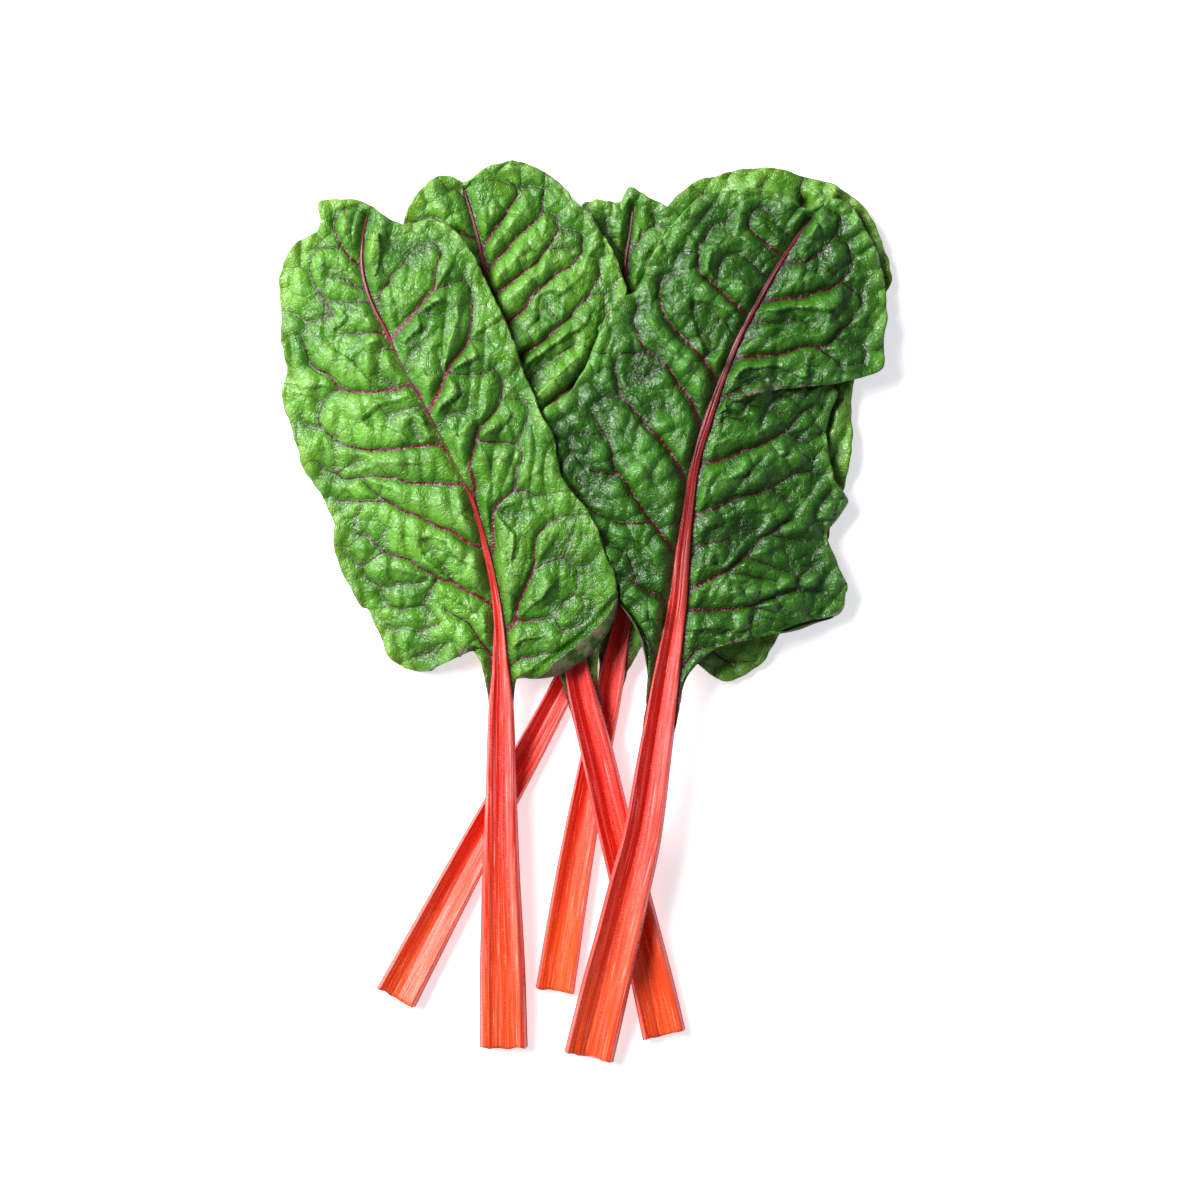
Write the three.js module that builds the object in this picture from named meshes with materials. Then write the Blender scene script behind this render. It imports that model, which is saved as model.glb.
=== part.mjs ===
// A bunch of five Swiss chard leaves, lying on a table.
//
// Each leaf is a stalk and a blade. The stalk is a fleshy channel, cut square at the foot, that
// narrows upwards and runs on through the blade as its rib. The blade is a thin sheet that
// surrounds the rib like a horseshoe: it starts as a narrow wing on each edge of the stalk, widens
// to a lobe on each side, and closes round the rib's tip.
//
// Millimetres, +Z up, +Y from the cut feet towards the tips. The leaves overlap. From the table
// upwards they are back_right, back_middle, back_left, front_right and front_left.
import * as THREE from "three";

const BLADE_THICKNESS = 1.2;
const RIB_GAP = 1.2; // between a rib's flank and the blade's inner edge
const TIP_GAP = 2.5; // from the rib's end to the blade beyond it
const SHOULDER = 0.3; // how far the blade's upper face lies below the rib's
const STALK_BASE_HEIGHT = 1.4; // a stalk's height is this, plus a share of its width
const STALK_HEIGHT_PER_WIDTH = 0.29;
const CAMBER = 1.5; // how far a blade arches between its rib and its margin
const RUFFLE_WAVES = 13; // waves in a whole margin, from base to base
const STALK_STEPS = 22;
const BLADE_STEPS_PER_SPOKE = 2;
const BLADE_STEPS_ACROSS = 4;

const STALK_COLOUR = 0xc8201c;
const BLADE_COLOUR = 0x2f7022;

// The stalk's section, right half, from the flat keel round the flank and the lip to the channel's
// floor: x as a share of the width, and z as a share of the height.
const HALF_SECTION = [
  [0.15, 0],
  [0.37, 0.18],
  [0.5, 0.6],
  [0.45, 1],
  [0.28, 0.76],
  [0, 0.66],
];
const SECTION_CENTRE = [0, 0.3]; // sees the whole section, so the end faces fan out from it

// Each leaf's stalk is a row of [x, y, z of the underside, width], from the foot to the rib's tip.
// Each side of its blade is a row of spokes [y on the rib, x, y, z of the margin], from the wing at
// the base to the tip, which the apex closes.
const LEAVES = [
  {
    name: "back_right",
    ruffle: 0.5,
    stalk: [
      [-84.5, -173.5, 0, 19.3],
      [-60, -127.5, 0, 16.8],
      [-37, -85, 0, 14.3],
      [-21.5, -57, 0, 12.6],
      [-4, -24, 0, 10.6],
      [8, -2, 0, 8.2],
      [18, 17, 0, 6.6],
      [30, 40, 0, 5.2],
      [43, 65, 0, 4.4],
      [56, 90, 0, 3.8],
      [68, 114, 0, 3.2],
      [79, 136, 0, 2.6],
      [88, 155, 0, 2],
      [95, 172, 0, 1.5],
      [99, 184, 0, 1],
    ],
    left: [
      [-30, -14, -26.4, 3.2],
      [-22, -14, -12, 2.8],
      [-14, -15, 4, 2.2],
      [-4, -14, 22, 1.7],
      [8, -12, 42, 1.5],
      [20, -7, 62, 1.4],
      [34, -1, 82, 1.4],
      [50, 6, 102, 1.4],
      [66, 13, 122, 1.4],
      [84, 20, 140, 1.4],
      [102, 26, 157, 1.4],
      [118, 31, 171, 1.4],
      [132, 37, 182.5, 1.8],
      [144, 46, 190, 2.4],
      [154, 58, 195, 2.8],
      [164, 70, 198, 3],
      [172, 81, 199.5, 3],
      [184, 91, 197.5, 2.8],
    ],
    apex: [99, 195, 2.6],
    right: [
      [-30, -0.5, -33.6, 3.2],
      [-22, 6, -23, 2.8],
      [-14, 18, -13, 2.4],
      [-6, 34, -10, 2],
      [2, 47, -17, 1.6],
      [8, 55, -27, 1.4],
      [14, 64, -31, 1.4],
      [20, 75, -27, 1.5],
      [27, 86, -14, 1.6],
      [35, 96, 2, 1.6],
      [46, 104, 20, 1.6],
      [58, 111, 40, 1.8],
      [70, 117, 58, 2],
      [84, 120, 78, 2.2],
      [98, 119.5, 98, 2],
      [112, 124, 114, 1.8],
      [126, 130, 129, 1.8],
      [138, 134.5, 141, 2],
      [147, 137.5, 148, 2.4],
      [156, 134.5, 160, 2.4],
      [164, 130.5, 171, 2.4],
      [171, 124, 182, 2.4],
      [177, 115, 190, 2.6],
      [184, 107, 193.5, 2.6],
    ],
  },
  {
    name: "back_middle",
    ruffle: 0.6,
    stalk: [
      [-13, -170.5, 0, 17.5],
      [-9.5, -148, 0.1, 16.8],
      [-5, -120, 0.2, 15.8],
      [0, -92, 0.4, 14.6],
      [5.5, -64, 1.2, 13.4],
      [11, -38, 3.2, 11.8],
      [15, -16, 5.3, 10],
      [19, 4, 5.8, 8],
      [23, 24, 5.8, 6.4],
      [26.5, 48, 5.6, 5],
      [28, 72, 5.2, 4],
      [27, 96, 4.6, 3.2],
      [23.5, 118, 3.8, 2.6],
      [20, 138, 3, 2.1],
      [18.5, 154, 2.4, 1.7],
      [20.5, 168, 2, 1.2],
      [22, 180, 1.8, 0.9],
    ],
    left: [
      [-30, 5, -28.5, 5.6],
      [-22, 5, -15, 5.8],
      [-16, 0, -5, 5.8],
      [-8, -8, 6, 5.6],
      [2, -16, 22, 5.2],
      [14, -22, 42, 4.6],
      [28, -26, 64, 4],
      [44, -28, 86, 3.6],
      [60, -27, 108, 3.2],
      [78, -23, 128, 2.8],
      [96, -17, 146, 2.4],
      [112, -10, 162, 1.8],
      [128, -5, 174, 1.5],
      [142, -1, 182, 1.5],
      [154, 5, 184.5, 1.8],
      [164, 11, 183.5, 2.2],
      [180, 16, 184, 2.6],
    ],
    apex: [20, 190, 3.2],
    right: [
      [-30, 20.2, -31.5, 5.6],
      [-22, 25, -21, 6],
      [-16, 31, -11, 6.4],
      [-8, 44, -2, 6.8],
      [2, 58, 10, 7.2],
      [14, 68, 28, 7.6],
      [28, 75, 48, 7.6],
      [44, 79, 70, 7.6],
      [60, 80, 92, 7.6],
      [78, 78, 114, 7.6],
      [96, 72, 134, 7.4],
      [112, 64, 150, 7],
      [126, 56, 162, 6.6],
      [140, 48, 171, 6.2],
      [152, 42, 178, 5.6],
      [162, 36, 181, 5.2],
      [170, 30, 185, 4.8],
      [180, 25, 188.5, 3.6],
    ],
  },
  {
    name: "back_left",
    ruffle: 0.8,
    stalk: [
      [36, -190.5, 0, 19.7],
      [31, -168, 0.4, 19],
      [20.5, -124, 3.4, 16.8],
      [13, -94, 6, 15.6],
      [6, -64, 8, 14.5],
      [0, -40, 9.2, 13],
      [-4.5, -20, 10, 11],
      [-9, 0, 10.4, 8.5],
      [-14, 22, 10.4, 6.2],
      [-20, 48, 10, 4.8],
      [-26, 74, 9.2, 4],
      [-32, 100, 8, 3.2],
      [-37.5, 122, 6.6, 2.6],
      [-42.5, 142, 5, 2.1],
      [-46, 160, 3.8, 1.7],
      [-50, 176, 3, 1.3],
      [-54, 189, 2.6, 0.9],
    ],
    left: [
      [-42, -8, -44, 11.4],
      [-30, -14, -24, 11.4],
      [-20, -26, -10, 10.6],
      [-10, -38, 2, 9.4],
      [2, -48, 18, 8],
      [16, -57, 38, 6.6],
      [32, -65, 60, 5.2],
      [50, -71, 84, 4],
      [68, -76, 106, 3.2],
      [86, -80, 128, 3],
      [104, -83, 148, 3],
      [120, -82, 164, 3],
      [136, -79.5, 178, 3],
      [150, -74, 187, 3],
      [162, -67, 193, 3],
      [174, -60, 194.5, 2.8],
      [189, -55, 193.5, 2.6],
    ],
    apex: [-50, 194.5, 2.6],
    right: [
      [-42, 9, -39.8, 11.4],
      [-32, 7.5, -24, 11.8],
      [-22, 7, -11, 12],
      [-10, 9, 4, 12],
      [2, 12, 22, 12],
      [14, 15, 42, 12],
      [28, 17, 62, 11.6],
      [42, 18, 82, 11],
      [58, 18, 102, 10],
      [76, 18, 122, 9],
      [94, 18.5, 138, 8],
      [106, 18, 148, 7.2],
      [118, 12, 162, 6.8],
      [130, 4, 174, 6.2],
      [142, -4, 183.5, 5],
      [152, -12, 191.5, 3.8],
      [162, -22, 198, 3],
      [172, -33, 201, 2.8],
      [189, -44, 198.5, 2.6],
    ],
  },
  {
    name: "front_right",
    ruffle: 1,
    stalk: [
      [2.2, -200, 0, 22.5],
      [9.5, -166, 5.6, 21.5],
      [13.5, -148, 8.9, 20.3],
      [20.5, -124, 11, 19],
      [26, -100, 12.6, 17.3],
      [31.5, -65, 14, 15],
      [35.5, -38, 15, 13],
      [39, -15, 15.6, 10.5],
      [42, 5, 16, 7.6],
      [44, 25, 16, 6.2],
      [46.5, 45, 15.6, 5],
      [49.5, 65, 15, 4.2],
      [55, 84, 14.2, 3.7],
      [62, 104, 13.2, 3.2],
      [69.5, 122, 12.2, 2.9],
      [78.5, 139, 11, 2.5],
      [87.5, 155, 9.8, 2],
      [96, 168, 8.6, 1.4],
      [101, 175, 8, 1],
    ],
    left: [
      [-44, 26, -42.5, 18.6],
      [-34, 28, -26, 18.6],
      [-26, 26, -14, 18.4],
      [-18, 20, -2, 17.8],
      [-10, 12, 8, 17.2],
      [-2, 2, 18, 16.6],
      [6, -8, 32, 16.2],
      [14, -15, 50, 15.6],
      [22, -19, 68, 15],
      [32, -18, 86, 14.2],
      [44, -8, 97, 13.6],
      [56, 1, 109, 13],
      [68, 7, 123, 12.4],
      [80, 14, 137, 11.8],
      [92, 24, 145, 11.4],
      [104, 29, 154, 11.2],
      [116, 34, 166, 11],
      [128, 43, 178, 10.6],
      [138, 52, 185, 10],
      [148, 62, 187, 9.6],
      [158, 74, 188.5, 9.2],
      [175, 89, 185.5, 8.8],
    ],
    apex: [99, 180, 8.6],
    right: [
      [-44, 43.8, -45.5, 18.6],
      [-36, 46, -29, 18],
      [-32, 53, -20, 16.4],
      [-27, 64, -13, 14.2],
      [-22, 78, -9, 12],
      [-17, 92, -9, 9.6],
      [-12, 104, -5, 7.8],
      [-6, 115, -1, 6.8],
      [2, 118, 9, 6.6],
      [12, 112, 23, 6.8],
      [22, 108.5, 33, 7],
      [32, 114, 43, 7],
      [41, 117.5, 50, 7.2],
      [50, 111, 61, 7.6],
      [60, 109, 76, 8],
      [70, 108, 89, 8.2],
      [82, 113, 98, 8.8],
      [92, 122, 102, 9.6],
      [101, 130, 106, 9.6],
      [112, 135, 118, 8.6],
      [124, 135.5, 136, 7.6],
      [136, 132, 154, 7],
      [147, 128, 169, 7],
      [157, 120, 181, 7.2],
      [166, 110, 184, 7.8],
      [175, 106, 182, 8.2],
    ],
  },
  {
    name: "front_left",
    ruffle: 1,
    stalk: [
      [-36, -196, 0, 21.5],
      [-36.5, -160, 3.2, 20.3],
      [-37, -120, 6.5, 17],
      [-37, -85, 7.6, 14.2],
      [-37, -50, 9, 10.8],
      [-37.2, -25, 10.4, 7.4],
      [-38.5, 0, 12, 4.8],
      [-42.5, 22, 13.5, 3.4],
      [-50, 50, 14.5, 2.8],
      [-60, 71, 14.5, 2.5],
      [-70, 90, 14, 2.3],
      [-79, 106, 13, 2.1],
      [-88, 124, 12, 1.9],
      [-95, 138, 10.5, 1.7],
      [-99, 152, 9, 1.5],
      [-99, 166, 7, 1.2],
      [-97, 177, 5, 0.9],
    ],
    left: [
      [-42, -44.2, -41, 12],
      [-32, -46, -25, 11.6],
      [-24, -50, -17, 10.6],
      [-18, -57, -15.5, 8.8],
      [-14, -66, -24, 6],
      [-10, -77, -27, 4],
      [-4, -90, -17, 2.6],
      [3, -97, 0, 2],
      [14, -109, 17, 1.8],
      [28, -112, 35, 1.8],
      [42, -121, 53, 1.8],
      [58, -129, 70, 1.8],
      [76, -134, 92, 1.8],
      [96, -134, 110, 1.8],
      [118, -137.5, 132, 1.8],
      [136, -135, 155, 2.2],
      [150, -123, 170, 3.2],
      [162, -118, 182, 4],
      [177, -106, 184.5, 4.2],
    ],
    apex: [-96, 182.5, 4.4],
    right: [
      [-42, -30, -42, 12],
      [-34, -28.5, -28, 12.4],
      [-30, -20, -30, 14],
      [-26, -9, -27, 17],
      [-20, 4, -18, 18.6],
      [-15, 13.5, -3, 20.4],
      [-11, 14, 10, 21],
      [-7, 9, 27, 21.2],
      [0, 2, 43, 21],
      [12, -9, 58, 20.4],
      [26, -14, 77, 19.4],
      [42, -21, 93, 18],
      [56, -27, 106, 16],
      [72, -31, 120, 14.4],
      [90, -39, 136, 13],
      [106, -46, 152, 11.6],
      [122, -56, 167, 10],
      [138, -69, 174.5, 8.4],
      [152, -80, 173, 6.8],
      [177, -89, 177, 5.4],
    ],
  },
];

// The smooth line through (knots, values), at t: each span is a cubic whose end slopes are those of
// the chords between its neighbours.
function smooth(knots, values, t) {
  const last = knots.length - 1;
  let i = 0;
  while (i < last - 1 && t > knots[i + 1]) i++;
  const slope = (k) => {
    const a = Math.max(k - 1, 0);
    const b = Math.min(k + 1, last);
    return (values[b] - values[a]) / (knots[b] - knots[a]);
  };
  const span = knots[i + 1] - knots[i];
  const s = (t - knots[i]) / span;
  const s2 = s * s;
  const s3 = s2 * s;
  return (
    (2 * s3 - 3 * s2 + 1) * values[i] +
    (s3 - 2 * s2 + s) * span * slope(i) +
    (3 * s2 - 2 * s3) * values[i + 1] +
    (s3 - s2) * span * slope(i + 1)
  );
}

const column = (rows, k) => rows.map((row) => row[k]);

// Where the stalk or rib is at y: its axis, width, height and the level direction across it.
function ribAt(leaf, y) {
  const ys = column(leaf.stalk, 1);
  const [x, z, width] = [0, 2, 3].map((k) => smooth(ys, column(leaf.stalk, k), y));
  const step = 0.5;
  const xs = column(leaf.stalk, 0);
  const lean = (smooth(ys, xs, y + step) - smooth(ys, xs, y - step)) / (2 * step);
  const across = new THREE.Vector3(1, -lean, 0).normalize();
  const height = STALK_BASE_HEIGHT + STALK_HEIGHT_PER_WIDTH * width;
  return { axis: new THREE.Vector3(x, y, z), width, height, across };
}

// The whole section as [x, z] shares, running clockwise from the keel's left corner.
function wholeSection() {
  const right = HALF_SECTION.slice(0, -1);
  const left = right.map(([x, z]) => [-x, z]);
  return [...left, HALF_SECTION.at(-1), ...right.reverse()];
}

// A cylinder laid along the stalk, its sides moved to the section and its end faces to the cuts.
function stalkGeometry(leaf) {
  const section = wholeSection();
  const sides = section.length;
  const geometry = new THREE.CylinderGeometry(1, 1, 1, sides, STALK_STEPS);
  const place = geometry.getAttribute("position");
  const [foot, tip] = [leaf.stalk[0][1], leaf.stalk.at(-1)[1]];
  for (let i = 0; i < place.count; i++) {
    const [px, py, pz] = [place.getX(i), place.getY(i), place.getZ(i)];
    const onAxis = Math.hypot(px, pz) < 0.5;
    const turn = Math.round((Math.atan2(px, pz) / (2 * Math.PI)) * sides);
    const [shareX, shareZ] = onAxis ? SECTION_CENTRE : section[(turn + sides) % sides];
    const rib = ribAt(leaf, foot + (tip - foot) * (py + 0.5));
    const point = rib.axis.clone().addScaledVector(rib.across, shareX * rib.width);
    place.setXYZ(i, point.x, point.y, point.z + shareZ * rib.height);
  }
  return geometry;
}

// The blade's spokes from the right wing round the tip to the left wing: where each leaves the
// rib, on which side, and where it meets the margin.
function spokesOf(leaf) {
  const tip = leaf.stalk.at(-1)[1];
  const spokes = (rows, side) =>
    rows.map(([ribY, x, y, z]) => ({ ribY, side, margin: [x, y, z] }));
  return [
    ...spokes(leaf.right, 1),
    { ribY: tip, side: 0, margin: leaf.apex },
    ...spokes(leaf.left, -1).reverse(),
  ];
}

// The middle of the blade at a share round it, from wing to wing, and a share across it, from rib
// to margin.
function bladePoint(leaf, spokes, round, across) {
  const knots = spokes.map((_, i) => i);
  const t = round * (spokes.length - 1);
  const read = (pick) => smooth(knots, spokes.map(pick), t);
  const side = THREE.MathUtils.clamp(read((s) => s.side), -1, 1);
  const rib = ribAt(leaf, read((s) => s.ribY));
  const along = new THREE.Vector3(-rib.across.y, rib.across.x, 0);
  const inner = rib.axis
    .clone()
    .addScaledVector(rib.across, side * (rib.width / 2 + RIB_GAP))
    .addScaledVector(along, (1 - Math.abs(side)) * TIP_GAP);
  inner.z += rib.height - SHOULDER - BLADE_THICKNESS / 2;
  const margin = new THREE.Vector3(...[0, 1, 2].map((k) => read((s) => s.margin[k])));
  const point = inner.lerp(margin, across);
  const reach = Math.min(1, Math.abs(t) / 4, (spokes.length - 1 - t) / 4);
  point.z += reach * CAMBER * 4 * across * (1 - across);
  point.z += reach * leaf.ruffle * across ** 2 * Math.sin(2 * Math.PI * RUFFLE_WAVES * round);
  return point;
}

// A slab bent to the blade: across it is from rib to margin, along it from wing to wing.
function bladeGeometry(leaf) {
  const spokes = spokesOf(leaf);
  const stepsRound = BLADE_STEPS_PER_SPOKE * (spokes.length - 1);
  const geometry = new THREE.BoxGeometry(1, 1, 1, BLADE_STEPS_ACROSS, stepsRound, 1);
  const place = geometry.getAttribute("position");
  for (let i = 0; i < place.count; i++) {
    const [across, round] = [place.getX(i) + 0.5, place.getY(i) + 0.5];
    const point = bladePoint(leaf, spokes, round, across);
    place.setXYZ(i, point.x, point.y, point.z + place.getZ(i) * BLADE_THICKNESS);
  }
  return geometry;
}

function named(name, geometry, color, roughness) {
  const material = new THREE.MeshStandardMaterial({ color, roughness, metalness: 0 });
  geometry.computeVertexNormals();
  const mesh = new THREE.Mesh(geometry, material);
  mesh.name = name;
  return mesh;
}

function makeLeaf(leaf) {
  const group = new THREE.Group();
  group.add(named(`stalk_${leaf.name}`, stalkGeometry(leaf), STALK_COLOUR, 0.35));
  group.add(named(`blade_${leaf.name}`, bladeGeometry(leaf), BLADE_COLOUR, 0.4));
  return group;
}

const bunch = new THREE.Group();
for (const leaf of LEAVES) bunch.add(makeLeaf(leaf));

// The origin is on the table, under the middle of the bunch.
const box = new THREE.Box3().setFromObject(bunch, true);
const middle = box.getCenter(new THREE.Vector3());
bunch.position.set(-middle.x, -middle.y, -box.min.z);

export default bunch;
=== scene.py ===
"""A bunch of five Swiss chard leaves lying on a pale table, seen from straight above."""

import math

import bmesh
import bpy
import numpy as np
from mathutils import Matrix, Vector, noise
from mathutils.kdtree import KDTree


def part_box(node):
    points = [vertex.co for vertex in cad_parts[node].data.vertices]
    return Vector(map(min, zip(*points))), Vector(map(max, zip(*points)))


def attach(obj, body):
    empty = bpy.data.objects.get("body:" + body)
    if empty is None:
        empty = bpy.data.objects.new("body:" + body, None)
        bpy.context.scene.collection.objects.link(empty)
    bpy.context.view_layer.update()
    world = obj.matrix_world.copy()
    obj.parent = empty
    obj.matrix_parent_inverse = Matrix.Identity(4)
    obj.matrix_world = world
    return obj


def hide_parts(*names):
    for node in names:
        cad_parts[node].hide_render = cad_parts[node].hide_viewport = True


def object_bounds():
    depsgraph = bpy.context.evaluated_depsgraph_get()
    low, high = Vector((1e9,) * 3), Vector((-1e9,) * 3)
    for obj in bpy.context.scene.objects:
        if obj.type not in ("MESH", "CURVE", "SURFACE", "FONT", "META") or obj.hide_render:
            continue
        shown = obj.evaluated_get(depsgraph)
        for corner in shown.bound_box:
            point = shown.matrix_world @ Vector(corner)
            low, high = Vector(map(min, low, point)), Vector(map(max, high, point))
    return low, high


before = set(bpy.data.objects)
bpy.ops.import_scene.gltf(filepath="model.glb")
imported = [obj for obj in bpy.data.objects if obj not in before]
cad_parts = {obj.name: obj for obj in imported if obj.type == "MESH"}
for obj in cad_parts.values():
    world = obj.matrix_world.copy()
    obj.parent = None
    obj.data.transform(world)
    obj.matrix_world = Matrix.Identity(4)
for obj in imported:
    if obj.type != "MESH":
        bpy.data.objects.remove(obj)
cad_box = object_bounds()

bl_info = {
    "name": "Swiss Chard Bunch",
    "version": (1, 0, 0),
    "blender": (4, 5, 0),
    "location": "3D View > Sidebar > Chard",
    "description": "Builds a bunch of red-stalked Swiss chard leaves around its packed solids",
    "category": "Add Mesh",
}

MM = 0.001
# Vector noise starts from the clock unless it is given a seed, and every run has to be the same.
NOISE_SEED = 5

# Distances are in millimetres from here down to the settings.
NET_SPACING = 9.0  # between the small veins
MESH_SPACING = 3.6  # between the finest veins
SEAM = 0.62  # the part of a stalk's height at which its blade joins it
WING_TAIL = 12  # how far a wing runs down the stalk below the blade's lowest row
ARCH = 1.5  # how far a blade bows up between rib and margin
HUMP = 15  # sets how high a blade rises where it starts across its rib
RUFFLES = 13  # waves of a margin from wing to wing
LEAF_GAP = 1.0  # between a blade and the leaf above it
TABLE_GAP = 0.3  # between a blade's underside and the table
STALK_GAP = 0.05  # between a stalk and the table
STRINGS = 11  # on a stalk's section

TABLE_HALF = 6000  # half the table's side
CAMERA_SHIFT = (7.2, 5.6)  # where the camera stands from the bunch's middle
WINDOW_SIZE = 1100
WINDOW_PLACE = (-1100, 650, 1050)  # from the bunch's middle, and above the table

# ---------------------------------------------------------------- the leaves, in millimetres

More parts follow.
